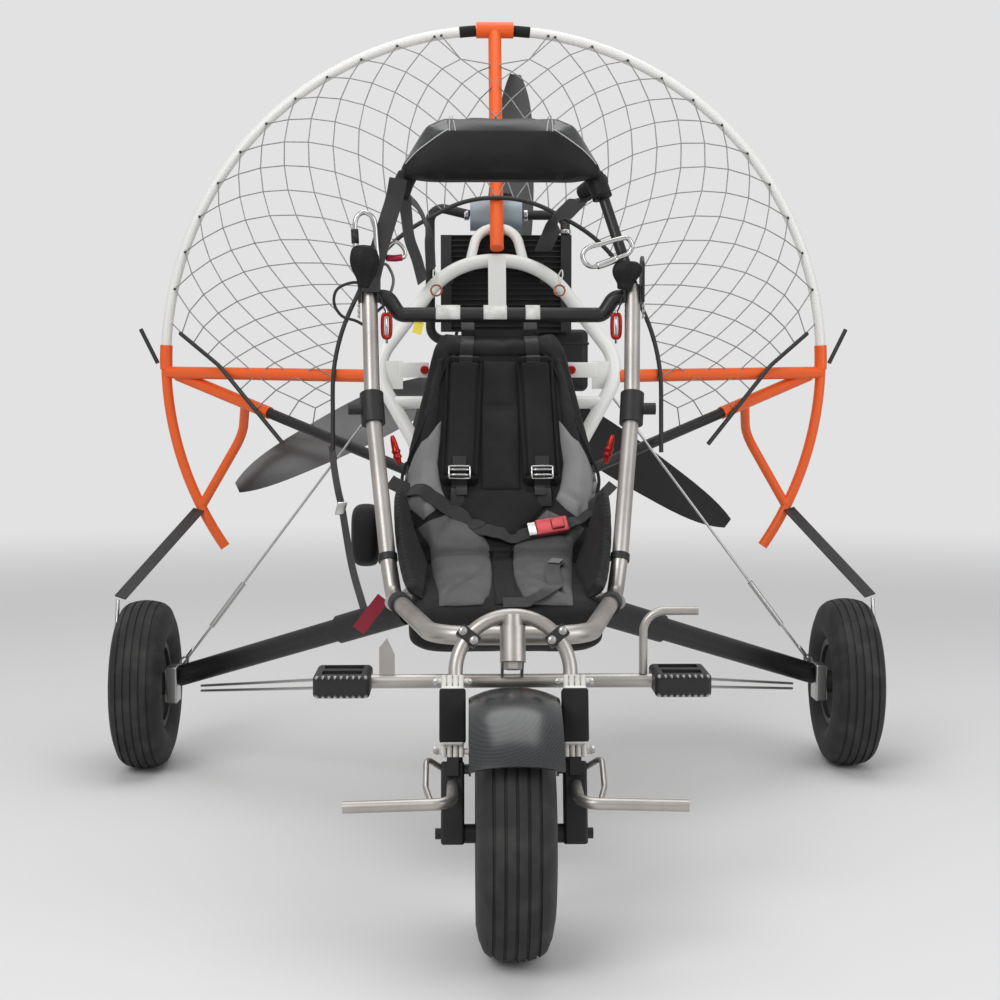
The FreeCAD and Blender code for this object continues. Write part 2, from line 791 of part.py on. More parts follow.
# Seat frame: one bent tube from side to side round the pilot's legs, low at the front.
loop_half = [
    at(0, size.loop_front_setback, size.loop_height),
    at(size.loop_front_half, size.loop_front_setback, size.loop_height),
    at(size.loop_rear_half, size.loop_rear_setback, size.loop_height),
    at(size.splice_half, size.splice_setback, size.splice_height),
]
loop_points = [Vector(-point.x, point.y, point.z) for point in loop_half[:0:-1]] + loop_half[1:]
loop_bends = [size.loop_bend / 2, size.loop_bend, size.loop_bend, size.loop_bend / 2]
seat_loop_tube = tube("seat_loop", loop_points, loop_bends, "frame_tube")
seat_loop = piece("seat_loop", seat_loop_tube)

# Side tubes: from the loop's splice, past the folding joint, up to the hang plates.
side_tubes = []
splices = []
folds = []
side_tops = {}
for side_name, side in SIDES.items():
    splice = at(side * size.splice_half, size.splice_setback, size.splice_height)
    fold = at(side * size.fold_half, size.fold_setback, size.fold_height)
    top = at(side * size.side_top_half, size.side_top_setback, size.side_top_height)
    side_tops[side_name] = top
    upward = (fold - splice).normalize()
    start = splice + upward * size.splice_gap
    side_tubes.append(tube("side_tube_" + side_name, [start, fold, top], size.side_bend, "frame_tube"))
side_tubes_node = piece("side_tubes", *side_tubes, separate=True)
for (side_name, side), side_tube in zip(SIDES.items(), side_tubes):
    splice = at(side * size.splice_half, size.splice_setback, size.splice_height)
    fold = at(side * size.fold_half, size.fold_setback, size.fold_height)
    top = side_tops[side_name]
    upward = (fold - splice).normalize()
    sleeve = disc("splice_sleeve_" + side_name, splice, upward, "splice_sleeve", "splice_sleeve_length")
    splices.append(cut("splice_" + side_name, sleeve, seat_loop_tube, side_tube))
    fold_axis = (top - splice).normalize()
    joint = disc("fold_sleeve_" + side_name, fold, fold_axis, "fold_sleeve", "fold_sleeve_length")
    knob = rod("fold_knob_" + side_name, fold, fold + X * (side * size.fold_sleeve), "fold_sleeve / 2")
    joined = doc.addObject("Part::MultiFuse", "fold_whole_" + side_name)
    joined.Shapes = [joint, knob]
    folds.append(cut("fold_" + side_name, joined, side_tube))
piece("frame_clamps", *splices, *folds, separate=True)

# Head tube: a bored barrel on the fork's axis, held by two gusset plates to loop and crossbar.
barrel = rod("head_barrel", fork(0, 0, size.head_bottom), fork(0, 0, head_top), "head_diameter")
bore = rod("head_bore", fork(0, 0, size.head_bottom - size.head_diameter),
           fork(0, 0, head_top + size.head_diameter), "stem_diameter + 2 * stem_clearance")
crossbar_line = at(0, size.crossbar_setback, size.crossbar_height)
loop_front = at(0, size.loop_front_setback, size.loop_height)
gussets = []
for side_name, side in SIDES.items():
    local = fork_frame.inverse()
    low = local.multVec(crossbar_line)
    high = local.multVec(loop_front)
    plate = padded_body("gusset_" + side_name, "YZ_Plane", outline(
        (size.stem_nut / 2, size.head_bottom), (low.y, low.z),
        (low.y + size.crossbar_diameter / 3, low.z + size.crossbar_diameter / 2),
        (high.y, high.z), (0, head_top)), "gusset_wall",
        fork_frame * Placement(X * (side * size.gusset_spread / 2), Rotation()))
    gussets.append(plate)
crossbar_rod = rod("crossbar_rod", at(-size.crossbar_half, size.crossbar_setback, size.crossbar_height),
                   at(size.crossbar_half, size.crossbar_setback, size.crossbar_height), "crossbar_diameter")
head_whole = doc.addObject("Part::MultiFuse", "head_whole")
head_whole.Shapes = [barrel] + gussets
piece("head_tube", cut("head_trimmed", head_whole, bore, seat_loop_tube, crossbar_rod))

# Crossbar under the head tube, with an upright tab at its right end.
TAB_SHARES = (0.62, 0.78)
tab_corner = size.tab_width / 2
tab = padded_body("crossbar_tab", "XZ_Plane", outline(
    (-tab_corner, 0), (tab_corner, 0), (tab_corner, size.tab_height * TAB_SHARES[0]), (0, size.tab_height),
    (-tab_corner, size.tab_height * TAB_SHARES[1])), "tab_wall",
    Placement(at(size.tab_width - size.crossbar_half, size.crossbar_setback, size.crossbar_height),
              Rotation()))
crossbar = piece("crossbar", crossbar_rod, tab)

# Footrests: ribbed black platforms on a pin at each end of the crossbar.
footrests = []
for side_name, side in SIDES.items():
    inner = size.crossbar_half + size.fit_gap
    middle = at(side * (inner + size.footrest_length / 2), size.crossbar_setback, size.crossbar_height)
    frame_block = block("footrest_block_" + side_name, middle, "footrest_length", "footrest_depth",
                        "footrest_height", rounding=size.strand_diameter)
    window_shift = Y * (size.footrest_depth / 4)
    windows = [block(f"footrest_window_{side_name}_{number}", middle + window_shift * way,
                     "footrest_length - 2 * footrest_pin", "footrest_depth / 2 - 3 * footrest_pin / 2",
                     "footrest_height * 2") for number, way in enumerate((-1, 1))]
    footrests.append(cut("footrest_" + side_name, frame_block, *windows))
piece("footrests", *footrests, separate=True)

# Brake lever: a bent rod up from the left end of the crossbar.
lever_foot = at(size.crossbar_half - size.lever_diameter, size.crossbar_setback,
                size.crossbar_height + size.crossbar_diameter / 2 + size.fit_gap)
lever_knee = Vector(lever_foot.x, lever_foot.y, size.lever_height)
lever_tip = Vector(size.lever_reach, lever_foot.y, size.lever_height)
lever = tube("brake_lever_rod", [lever_foot, lever_knee, lever_tip], size.lever_bend, "lever_diameter")
piece("brake_lever", lever)

# Under-seat frame: rails from the loop's rear corners back to the engine hoop's feet.
rails = []
rail_height = size.base_height
for side_name, side in SIDES.items():
    rails.append(tube("rail_" + side_name, [
        at(side * size.loop_rear_half, size.loop_rear_setback - size.loop_bend, size.loop_height),
        at(side * size.loop_rear_half, size.pivot_tube_setback - size.loop_bend, rail_height),
        at(side * size.base_rear_half, size.base_rear_setback + size.base_tube, rail_height)],
        size.loop_bend, "base_tube"))
pivot_half = size.arm_root_half - size.arm_depth
for name, setback, half_length in (("pivot_tube", size.pivot_tube_setback, pivot_half),
                                   ("tank_tube", size.tank_tube_setback, size.tank_tube_half),
                                   ("rear_tube", size.base_rear_setback, size.base_rear_half)):
    rails.append(rod(name, at(-half_length, setback, rail_height), at(half_length, setback, rail_height),
                     "base_tube"))
base_whole = doc.addObject("Part::MultiFuse", "base_whole")
base_whole.Shapes = rails
base_frame = piece("base_frame", cut("base_trimmed", base_whole, seat_loop_tube))


def oval_bar(name, start, end, height, depth):
    """A streamlined bar from start to end, its section upright."""
    section = doc.addObject("Part::Ellipse", name + "_section")
    bind(section, MajorRadius=f"({height}) / 2", MinorRadius=f"({depth}) / 2")
    bar = doc.addObject("Part::Extrusion", name)
    bar.Base = section
    bar.DirMode = "Custom"
    bar.Dir = Z
    bar.LengthFwd = (end - start).Length
    bar.Solid = True
    along = (end - start).normalize()
    level = along.cross(Z).normalize()
    bar.Placement = Placement(start, Rotation(level.cross(along), level, along, "ZXY"))
    return bar


# Swing arms: streamlined tubes out and back from the under-seat frame to the rear axles.
arms = []
knuckles = []
arm_tips = {}
link_half = size.track / 2 + size.hub_width / 2 + size.link_standoff
for side_name, side in SIDES.items():
    arm_root = at(side * size.arm_root_half, size.pivot_tube_setback, size.arm_root_height)
    arm_tip = at(side * size.arm_tip_half, size.wheelbase, size.arm_tip_height)
    arm_tips[side_name] = arm_tip
    along = (arm_tip - arm_root).normalize()
    arm_start = arm_root - along * size.arm_inset
    arm = oval_bar("arm_" + side_name, arm_start, arm_tip, "arm_height", "arm_depth")
    sleeve = oval_bar("arm_sleeve_" + side_name, arm_start, arm_start + along * size.arm_sleeve_length,
                      "arm_sleeve_height", "arm_sleeve_depth")
    arm_whole = doc.addObject("Part::MultiFuse", "arm_whole_" + side_name)
    arm_whole.Shapes = [arm, sleeve]
    hub_face = size.track / 2 - size.hub_width / 2 - size.fit_gap
    knuckle_middle = at(side * (hub_face - size.knuckle_wall), size.wheelbase, size.wheel_radius)
    knuckle = block("knuckle_block_" + side_name, knuckle_middle, "knuckle_wall * 2", "knuckle_depth",
                    "knuckle_height", rounding=size.rim_wall)
    stub_end = at(side * (link_half + size.link_diameter), size.wheelbase, size.wheel_radius)
    stub = rod("stub_" + side_name, knuckle_middle, stub_end, "axle_diameter")
    knuckle_whole = doc.addObject("Part::MultiFuse", "knuckle_" + side_name)
    knuckle_whole.Shapes = [knuckle, stub]
    knuckles.append(knuckle_whole)
    arms.append(cut("arm_trimmed_" + side_name, arm_whole, knuckle_whole, base_frame, side_tubes_node))
swing_arms = piece("swing_arms", *arms, separate=True)
rear_knuckles = piece("rear_knuckles", *knuckles, separate=True)

# Hang plates: a pair of bored plates at each side tube's top, where the wing's load comes in.
hang_sets = []
for (side_name, side), side_tube in zip(SIDES.items(), side_tubes):
    top = side_tops[side_name]
    for face_name, face in (("outer", 1), ("inner", -1)):
        centre = top + X * (side * face * (size.frame_tube / 2 + size.fit_gap + size.plate_wall / 2))
        edge = size.plate_width / 2
        low = -size.plate_drop
        high = size.plate_height - size.plate_drop - edge
        plate = padded_body(f"plate_{side_name}_{face_name}", "YZ_Plane", [
            line((-edge, low), (edge, low)), line((edge, low), (edge, high)),
            arc((edge, high), (0, high + edge), (-edge, high)), line((-edge, high), (-edge, low))],
            "plate_wall", Placement(centre, Rotation()))
        hole_middle = centre + Z * high - Y * size.hang_forward
        hole = disc(f"plate_hole_{side_name}_{face_name}", hole_middle, X, "hang_hole", "plate_wall * 2")
        hang_sets.append(cut(f"hang_{side_name}_{face_name}", plate, hole, side_tube))
hang_plates = piece("hang_plates", *hang_sets, separate=True)

# Upper bars: black tubes from the hang plates up to the padded head guard.
upper_bars = []
for side_name, side in SIDES.items():
    foot = side_tops[side_name]
    head = at(side * size.bar_top_half, size.side_top_setback + size.bar_back,
              size.side_top_height + size.bar_rise)
    upper_bars.append(rod("upper_bar_" + side_name, foot, head, "bar_diameter"))
visor_bottom = size.side_top_height + size.visor_rise
visor_edges = [(size.visor_bottom_half, visor_bottom),
               (size.visor_side_half, visor_bottom + size.visor_side_height),
               (size.visor_top_half, visor_bottom + size.visor_height)]
visor_edges += [(-across, up) for across, up in reversed(visor_edges)]
visor = padded_body("head_guard_pad", "XZ_Plane", outline(*visor_edges), "visor_depth",
                    Placement(at(0, size.side_top_setback + size.visor_back, 0), Rotation()))
trimmed_bars = [cut("trimmed_" + bar.Name, bar, visor, side_tubes_node, hang_plates) for bar in upper_bars]
piece("upper_bars", *trimmed_bars, separate=True)
piece("head_guard", visor)

# Spreader bar: a padded bow between the two side tubes, over the seat's headrest.
bow_inset = size.frame_tube / 2 + size.plate_wall + 2 * size.fit_gap
bow_start = side_tops["left"] - X * bow_inset - Z * size.spreader_end_drop
bow_corner = bow_start - X * size.spreader_run
bow_low = bow_corner - X * size.spreader_step - Z * (size.spreader_drop - size.spreader_end_drop)
bow_points = both_sides([bow_start, bow_corner, bow_low])
bow = tube("spreader_bow", bow_points, size.spreader_bend, "spreader_diameter")
piece("spreader_bar", bow)

# Engine hoop: a white bent tube that leans back behind the seat, waisted at its feet.
lean_share = math.tan(math.radians(size.hoop_lean))


def hoop(across, height, forward=0.0):
    """A point on the hoop's leaning plane."""
    setback = size.hoop_foot_setback + (height - size.hoop_foot_height) * lean_share
    return at(across, setback - forward, height)


waist_height = size.hoop_side_height - size.hoop_waist_drop
crown_height = size.hoop_side_height + size.hoop_crown_rise
handle_top = crown_height + size.handle_rise
LEG_SHARES = {"low": 0.0, "high": 0.59, "stay": 0.71}
HANDLE_SHARE = 0.7
HOOP_BEND_SHARES = (0.2, 0.28, 0.46)


def hoop_leg(share):
    """Half width and height on the hoop's leg, from its waist up to its side."""
    half_width = size.hoop_waist_half + (size.hoop_side_half - size.hoop_waist_half) * share
    return half_width, waist_height + size.hoop_waist_drop * share


hoop_half = [
    hoop(size.base_rear_half, size.hoop_foot_height + size.base_tube / 2),
    hoop(size.hoop_waist_half, waist_height),
    hoop(size.hoop_side_half, size.hoop_side_height),
    hoop(size.hoop_shoulder_half, crown_height),
]
hoop_points = both_sides(hoop_half)
hoop_bends = run_bends(hoop_points, HOOP_BEND_SHARES + HOOP_BEND_SHARES[::-1])
hoop_tube = tube("hoop_tube", hoop_points, hoop_bends, "frame_tube")
handle_half = [
    hoop(size.mast_foot_half, crown_height),
    hoop(size.mast_foot_half * HANDLE_SHARE, handle_top),
]
handle = tube("mast_handle", both_sides(handle_half), size.handle_bend, "mast_foot_tube")
plate_frame = Placement(hoop(0, crown_height - size.mast_plate_drop, size.frame_tube / 2),
                        Rotation(X, -size.hoop_lean))
mast_plate = block("mast_plate", Vector(), "mast_plate_width", "mast_plate_wall", "mast_plate_height",
                   plate_frame)
cross_tubes = []
mount_heights = {}
for name in ("low", "high"):
    half_length, mount_heights[name] = hoop_leg(LEG_SHARES[name])
    cross_tubes.append(rod("hoop_cross_" + name, hoop(-half_length, mount_heights[name]),
                           hoop(half_length, mount_heights[name]), "base_tube"))
side_plates = []
for side_name, side in SIDES.items():
    plate_middle = hoop(side * (size.hoop_side_half - size.side_plate_inset),
                        size.hoop_side_height - size.side_plate_drop)
    side_plates.append(block("side_plate_" + side_name, plate_middle, "side_plate_width", "mast_plate_wall",
                             "side_plate_height"))
hoop_whole = doc.addObject("Part::MultiFuse", "hoop_whole")
hoop_whole.Shapes = [hoop_tube, handle, mast_plate] + cross_tubes + side_plates
engine_hoop = piece("engine_hoop", cut("engine_hoop_trimmed", hoop_whole, base_frame))

# Guard ring: the white upper half is a round tube; its joints sleeve it to the side arms.
ring_height = size.hoop_side_height + size.ring_rise
ring_centre = at(0, size.ring_setback, ring_height)


def ring_point(angle, radius):
    """A point in the ring's plane, its angle from the left side, upwards."""
    turn = math.radians(angle)
    return ring_centre + Vector(math.cos(turn), 0, math.sin(turn)) * radius


def ring_part(name, start_angle, span, diameter):
    """A stretch of the ring's round tube."""
    stretch = doc.addObject("Part::Torus", name)
    bind(stretch, Radius1="ring_radius", Radius2=f"({diameter}) / 2")
    stretch.Angle3 = span
    stretch.Placement = Placement(ring_centre, Rotation(X, QUARTER_TURN) * Rotation(Z, start_angle))
    return stretch


joint_angle = math.degrees(size.ring_joint_length / size.ring_radius)
top_span = FULL_TURN / 2 - 2 * joint_angle
ring_top = piece("ring_top", ring_part("ring_top", joint_angle, top_span, "ring_tube"))

# Mast: an orange post from the hoop's handle up to the ring, with a sleeve round the ring.
mast_foot = hoop(0, crown_height + size.mast_foot_rise, size.mast_foot_forward)
mast_top = ring_point(QUARTER_TURN, size.ring_radius)
mast_post = rod("mast_post", mast_foot, mast_top, "mast_diameter")
mast_sleeve = disc("mast_sleeve", mast_top, X, "mast_collar", "mast_collar_length * 2")
mast_whole = doc.addObject("Part::MultiFuse", "mast_whole")
mast_whole.Shapes = [mast_post, mast_sleeve]
piece("mast", cut("mast_trimmed", mast_whole, ring_top, engine_hoop))

# Side arms of the guard: an orange bar, the ring's lower stretch and a brace, welded together.
SOCKET_SHARE = 0.41
BRACE_SHARE = 0.74
BRACE_KNEE_SHARES = (0.765, 0.215)
ring_arms = []
struts = []
arm_lines = {}
strut_lines = {}
for side_name, side in SIDES.items():
    start = -size.ring_drop_angle if side == 1 else FULL_TURN / 2 - joint_angle / 2
    lower = ring_part("ring_lower_" + side_name, start, size.ring_drop_angle + joint_angle / 2, "ring_tube")
    joint_start = -joint_angle / 2 if side == 1 else FULL_TURN / 2 - joint_angle * 1.5
    collar = ring_part("ring_joint_" + side_name, joint_start, joint_angle * 2, "ring_joint_collar")
    bar_outer = Vector(side * size.ring_radius, ring_centre.y, ring_height - size.arm_bar_drop)
    bar_inner = hoop(side * (size.hoop_side_half - size.arm_bar_inset),
                     size.hoop_side_height - size.arm_bar_sink)
    arm_lines[side_name] = (bar_outer, bar_inner)
    bar = rod("arm_bar_" + side_name, bar_outer, bar_inner, "arm_bar")
    strut_outer = Vector(side * (size.ring_radius - size.arm_bar), ring_centre.y,
                         ring_height - size.arm_bar)
    strut_inner = hoop(side * (size.hoop_waist_half + size.strut_outset), waist_height - size.strut_sink)
    strut_lines[side_name] = (strut_outer, strut_inner)
    socket_end = strut_outer + (strut_inner - strut_outer) * SOCKET_SHARE
    socket = rod("strut_socket_" + side_name, strut_outer, socket_end, "strut_socket")
    strut = rod("strut_" + side_name, socket_end, strut_inner, "strut_tube")
    brace_low = ring_centre + Vector(side * math.cos(math.radians(size.brace_angle)), 0,
                                     -math.sin(math.radians(size.brace_angle))) * size.ring_radius
    brace_high = strut_outer + (socket_end - strut_outer) * BRACE_SHARE
    brace_knee = Vector(side * size.ring_radius * BRACE_KNEE_SHARES[0], ring_centre.y - size.arm_bar,
                        ring_height - size.ring_radius * BRACE_KNEE_SHARES[1])
    brace = tube("brace_" + side_name, [brace_low, brace_knee, brace_high], size.hoop_bend, "brace_tube")
    whole = doc.addObject("Part::MultiFuse", "ring_arm_" + side_name)
    whole.Shapes = [lower, collar, bar, socket, brace]
    ring_arms.append(cut("ring_arm_trimmed_" + side_name, whole, ring_top, engine_hoop))
    struts.append(cut("strut_trimmed_" + side_name, strut, engine_hoop))
ring_arms_node = piece("ring_arms", *ring_arms, separate=True)
piece("ring_struts", *struts, separate=True)

# Net arch: a springy black rod that holds the net's inner edge, before the mast and the side bars.
arch_knee = size.arch_foot_height + size.arch_knee_rise
arch_shoulder = arch_knee + size.arch_shoulder_rise
arch_crown = arch_shoulder + size.arch_crown_rise
mast_share = (arch_crown - mast_foot.z) / (mast_top.z - mast_foot.z)
mast_lean = Y.getAngle(mast_top - mast_foot)
crown_gap = (size.mast_diameter + size.batten_diameter) / 2 + size.fit_gap
crown_back = (mast_foot + (mast_top - mast_foot) * mast_share).y - crown_gap / math.sin(mast_lean)
bar_outer, bar_inner = arm_lines["left"]
arch_share = (bar_outer.x - size.arch_foot_half) / (bar_outer.x - bar_inner.x)
arch_cross = bar_outer + (bar_inner - bar_outer) * arch_share
arch_gap = (size.arm_bar + size.batten_diameter) / 2 + size.fit_gap
bar_sweep = math.atan2(bar_outer.y - bar_inner.y, bar_outer.x - bar_inner.x)
arch_low_back = arch_cross.y - arch_gap / math.cos(bar_sweep)
arch_slope = (crown_back - arch_low_back) / (arch_crown - arch_cross.z)


def arch(across, height):
    """A point on the net arch's leaning plane."""
    return Vector(across, crown_back - (arch_crown - height) * arch_slope, height)


ARCH_BEND_SHARES = (0.42, 0.48, 0.46)
arch_half_points = [
    arch(size.arch_foot_half, size.arch_foot_height),
    arch(size.arch_knee_half, arch_knee),
    arch(size.arch_shoulder_half, arch_shoulder),
    arch(size.arch_crown_half, arch_crown),
]
arch_points = both_sides(arch_half_points)
arch_bends = run_bends(arch_points, ARCH_BEND_SHARES + ARCH_BEND_SHARES[::-1])
arch_rod = tube("net_arch_rod", arch_points, arch_bends, "batten_diameter")
piece("net_arch", arch_rod)

# Net battens: on each side a rod under the net's lower edge, before the bar and the strut, and a
# short rod that stands up outside the ring's joint and keeps the lines off the propeller.
BATTEN_BAR_SHARE = 0.326
BATTEN_STRUT_SHARE = 0.38
battens = []
for side_name, side in SIDES.items():
    bar_outer, bar_inner = arm_lines[side_name]
    strut_outer, strut_inner = strut_lines[side_name]
    bar_cross = bar_outer + (bar_inner - bar_outer) * BATTEN_BAR_SHARE
    strut_cross = strut_outer + (strut_inner - strut_outer) * BATTEN_STRUT_SHARE
    run = (strut_cross - bar_cross).normalize()
    touches = []
    for cross, along, thickness in ((bar_cross, bar_inner - bar_outer, size.arm_bar),
                                    (strut_cross, strut_inner - strut_outer, size.strut_socket)):
        aside = along.cross(run).normalize()
        if aside.y > 0:
            aside = aside.negative()
        touches.append(cross + aside * ((thickness + size.batten_diameter) / 2 + 2 * size.fit_gap))
    run = (touches[1] - touches[0]).normalize()
    ring_end_angle = size.batten_ring_angle if side == 1 else FULL_TURN / 2 - size.batten_ring_angle
    ring_end = ring_point(ring_end_angle, size.ring_radius - size.batten_ring_inset)
    ring_end -= Y * (size.ring_tube / 2)
    battens.append(tube("batten_" + side_name, [
        ring_end, touches[0] - run * size.batten_knee, touches[1] + run * size.batten_tail],
        size.batten_bend,
        "batten_diameter"))
    guide_foot = ring_point(0 if side == 1 else FULL_TURN / 2, size.ring_radius)
    guide_foot += X * (side * ((size.ring_joint_collar + size.batten_diameter) / 2 + size.fit_gap))
    guide_tip = guide_foot + Vector(side * size.guide_out, 0, size.guide_rise)
    battens.append(rod("guide_" + side_name, guide_foot, guide_tip, "batten_diameter"))
piece("net_battens", *battens, separate=True)

# Engine, behind the hoop: crankcase, upright barrel with its head, and the reduction gearbox.
case_bottom = waist_height - size.case_drop
case_top = case_bottom + size.case_height
case_middle = at(0, size.case_setback, case_bottom + size.case_height / 2)
crankcase = block("crankcase_block", case_middle, "case_width", "case_depth", "case_height",
                  rounding=size.case_round)
case_front = size.case_setback - size.case_depth / 2
starter_rim = size.starter_diameter / 2
cap_rim = size.starter_cap / 2
starter = revolved_body("starter_housing", "XZ_Plane", outline(
    (0, 0), (size.starter_depth, 0), (size.starter_depth, starter_rim),
    (size.starter_slot_depth, starter_rim),
    (0, starter_rim - size.starter_slot_depth), (0, cap_rim), (-size.starter_cap_depth, cap_rim),
    (-size.starter_cap_depth, 0)))
slot_circle = Part.Circle(Vector(0, (cap_rim + starter_rim) / 2, 0), Z, size.starter_slot / 2)
starter_slot = sketch_on(starter, "starter_slot", "YZ_Plane", [slot_circle])
starter_pocket = starter.newObject("PartDesign::Pocket", "starter_pocket")
starter_pocket.Profile = starter_slot
starter_pocket.SideType = "Symmetric"
bind(starter_pocket, Length="2 * starter_slot_depth")
starter_ring = starter.newObject("PartDesign::PolarPattern", "starter_slots")
starter_ring.Originals = [starter_pocket]
starter_ring.Axis = (next(axis for axis in starter.Origin.OriginFeatures if axis.Role == "X_Axis"), [""])
starter_ring.Angle = FULL_TURN
bind(starter_ring, Occurrences="starter_slot_count")
starter.Tip = starter_ring
starter.Placement = Placement(at(0, case_front - size.starter_depth, case_middle.z), Rotation(X, Y))
piece("crankcase", crankcase, starter)
mounts = []
for side_name, side in SIDES.items():
    for name, height in mount_heights.items():
        post_foot = hoop(side * size.mount_spread, height)
        post_end = at(side * size.mount_spread, case_front, height)
        post = rod(f"mount_post_{side_name}_{name}", post_foot, post_end, "mount_post")
        bush = rod(f"mount_bush_{side_name}_{name}", post_end - Y * size.mount_bush_length, post_end,
                   "mount_bush")
        mount = doc.addObject("Part::MultiFuse", f"mount_{side_name}_{name}")
        mount.Shapes = [post, bush]
        mounts.append(cut(f"mount_trimmed_{side_name}_{name}", mount, engine_hoop))
    bracket_foot = hoop(side * size.bracket_spread, crown_height - size.bracket_drop)
    bracket_end = at(side * size.bracket_spread, size.radiator_setback - size.radiator_depth / 2,
                     bracket_foot.z)
    bracket = band("radiator_bracket_" + side_name, bracket_foot, bracket_end, "mast_plate_wall",
                   "bracket_height")
    mounts.append(cut("bracket_trimmed_" + side_name, bracket, engine_hoop))
piece("engine_mounts", *mounts, separate=True)
barrel_base = at(0, size.case_setback, case_top)
barrel_top = barrel_base + Z * size.barrel_height
cylinder_barrel = rod("cylinder_barrel", barrel_base, barrel_top, "barrel_diameter")
cylinder_head = rod("cylinder_head", barrel_top, barrel_top + Z * size.head_cap_height, "head_cap_diameter")
flange_top = barrel_base + Z * size.barrel_flange_height
cylinder_flange = rod("cylinder_flange", barrel_base, flange_top, "barrel_flange")
plug_base = barrel_top + Z * size.head_cap_height
spark_plug = rod("spark_plug", plug_base, plug_base + Z * size.plug_height, "plug_diameter")
cylinder = piece("cylinder", cylinder_barrel, cylinder_flange, cylinder_head, spark_plug)
shaft_centre = at(0, size.gearbox_setback, ring_height)
crank_centre = at(0, size.gearbox_setback, case_middle.z)
big = disc("gearbox_top", shaft_centre, Y, "gearbox_big", "gearbox_depth")
small = disc("gearbox_bottom", crank_centre, Y, "gearbox_small", "gearbox_depth")
neck = block("gearbox_neck", (shaft_centre + crank_centre) / 2, "gearbox_small", "gearbox_depth",
             "ring_rise + hoop_waist_drop + case_drop - case_height / 2")
gear_whole = doc.addObject("Part::MultiFuse", "gear_whole")
gear_whole.Shapes = [big, small, neck]
shaft_bore = disc("shaft_bore", shaft_centre + Y * (size.gearbox_depth / 2), Y,
                  "prop_shaft + 2 * bearing_clearance", "gearbox_depth")
piece("gearbox", cut("gearbox_trimmed", gear_whole, shaft_bore))

# Radiator before the barrel: side tanks, top and bottom rails, and a stack of fins.
radiator_bottom = crown_height - size.radiator_sink
radiator_centre = at(size.radiator_offset, size.radiator_setback, radiator_bottom + size.radiator_height / 2)
radiator_parts = []
for side_name, side in SIDES.items():
    tank_middle = radiator_centre + X * (side * (size.radiator_width - size.radiator_tank) / 2)
    radiator_parts.append(block("radiator_tank_" + side_name, tank_middle, "radiator_tank", "radiator_depth",
                                "radiator_height"))
radiator_parts.append(block("radiator_core_slab", radiator_centre, "radiator_width - radiator_tank",
                            "radiator_core", "radiator_height"))
fin_pitch = size.radiator_height / size.radiator_fin_count
for number in range(int(size.radiator_fin_count) + 1):
    fin_middle = radiator_centre + Z * (number * fin_pitch - size.radiator_height / 2)
    if number == 0:
        fin_middle += Z * (size.radiator_fin / 2)
    if number == int(size.radiator_fin_count):
        fin_middle -= Z * (size.radiator_fin / 2)
    radiator_parts.append(block(f"radiator_fin_{number}", fin_middle, "radiator_width - radiator_tank",
                                "radiator_depth - 2 * radiator_fin", "radiator_fin"))
radiator = piece("radiator", *radiator_parts)

# Coolant header tank above the radiator, lying across, and the hoses down to it.
radiator_top = radiator_bottom + size.radiator_height
tank_centre = at(0, size.tank_setback, radiator_top + size.tank_rise)
header = disc("header_barrel", tank_centre, X, "tank_diameter", "tank_length")
tank_foot = band("tank_foot_band", at(0, size.radiator_setback, radiator_top), tank_centre, "tank_foot",
                 "tank_foot")
coolant_tank = piece("coolant_tank", header, cut("tank_foot_trimmed", tank_foot, radiator))
hose_foot = at(size.radiator_offset + (size.radiator_width - size.radiator_tank) / 2, size.radiator_setback,
               radiator_top - size.hose_diameter / 2)
hose_top = Vector(hose_foot.x, tank_centre.y, tank_centre.z)
hose_end = tank_centre + X * (size.tank_length / 2)
feed = tube("feed_hose", [hose_foot, hose_top, hose_end], size.hose_bend, "hose_diameter")
return_start = tank_centre - X * (size.tank_length / 2)
return_crest = at(-size.return_reach, size.tank_setback, tank_centre.z + size.hose_diameter)
return_low = at(-size.return_reach, size.case_setback, barrel_top.z + size.head_cap_height / 2)
return_end = barrel_top + Z * (size.head_cap_height / 2)
back_hose = tube("return_hose", [return_start, return_crest, return_low, return_end], size.hose_bend,
                 "hose_diameter")
piece("coolant_hoses", cut("feed_trimmed", feed, radiator, coolant_tank),
      cut("return_trimmed", back_hose, radiator, coolant_tank, cylinder), separate=True)

# Exhaust: a pipe from the barrel's right side into a fat chamber, then a silencer under the engine.
PORT_SHARE = 0.4
port = at(-size.barrel_diameter / 2 - size.fit_gap, size.case_setback,
          case_top + size.barrel_height * PORT_SHARE)
port_knee = port - X * size.chamber_diameter
chamber_top = port_knee - Z * size.pipe_bend
chamber_low = at(port_knee.x, size.case_setback, case_bottom - size.silencer_gap - size.silencer_diameter)
pipe_foot = chamber_top - Z * size.pipe_diameter
pipe = tube("exhaust_pipe", [port, port_knee, pipe_foot], size.pipe_bend, "pipe_diameter")
chamber_length = (chamber_top - chamber_low).Length
chamber_radius = size.chamber_diameter / 2
chamber = revolved_body("exhaust_chamber", "XZ_Plane", outline(
    (0, 0), (0, chamber_radius), (chamber_length - 2 * size.chamber_cone, chamber_radius),
    (chamber_length, size.pipe_diameter / 2), (chamber_length, 0)), FULL_TURN,
    Placement(chamber_low, Rotation(X, Z)))
silencer_start = chamber_low + Z * (size.silencer_diameter / 2)
silencer = rod("silencer", silencer_start, silencer_start + X * size.silencer_length, "silencer_diameter")
piece("exhaust", pipe, chamber, silencer)

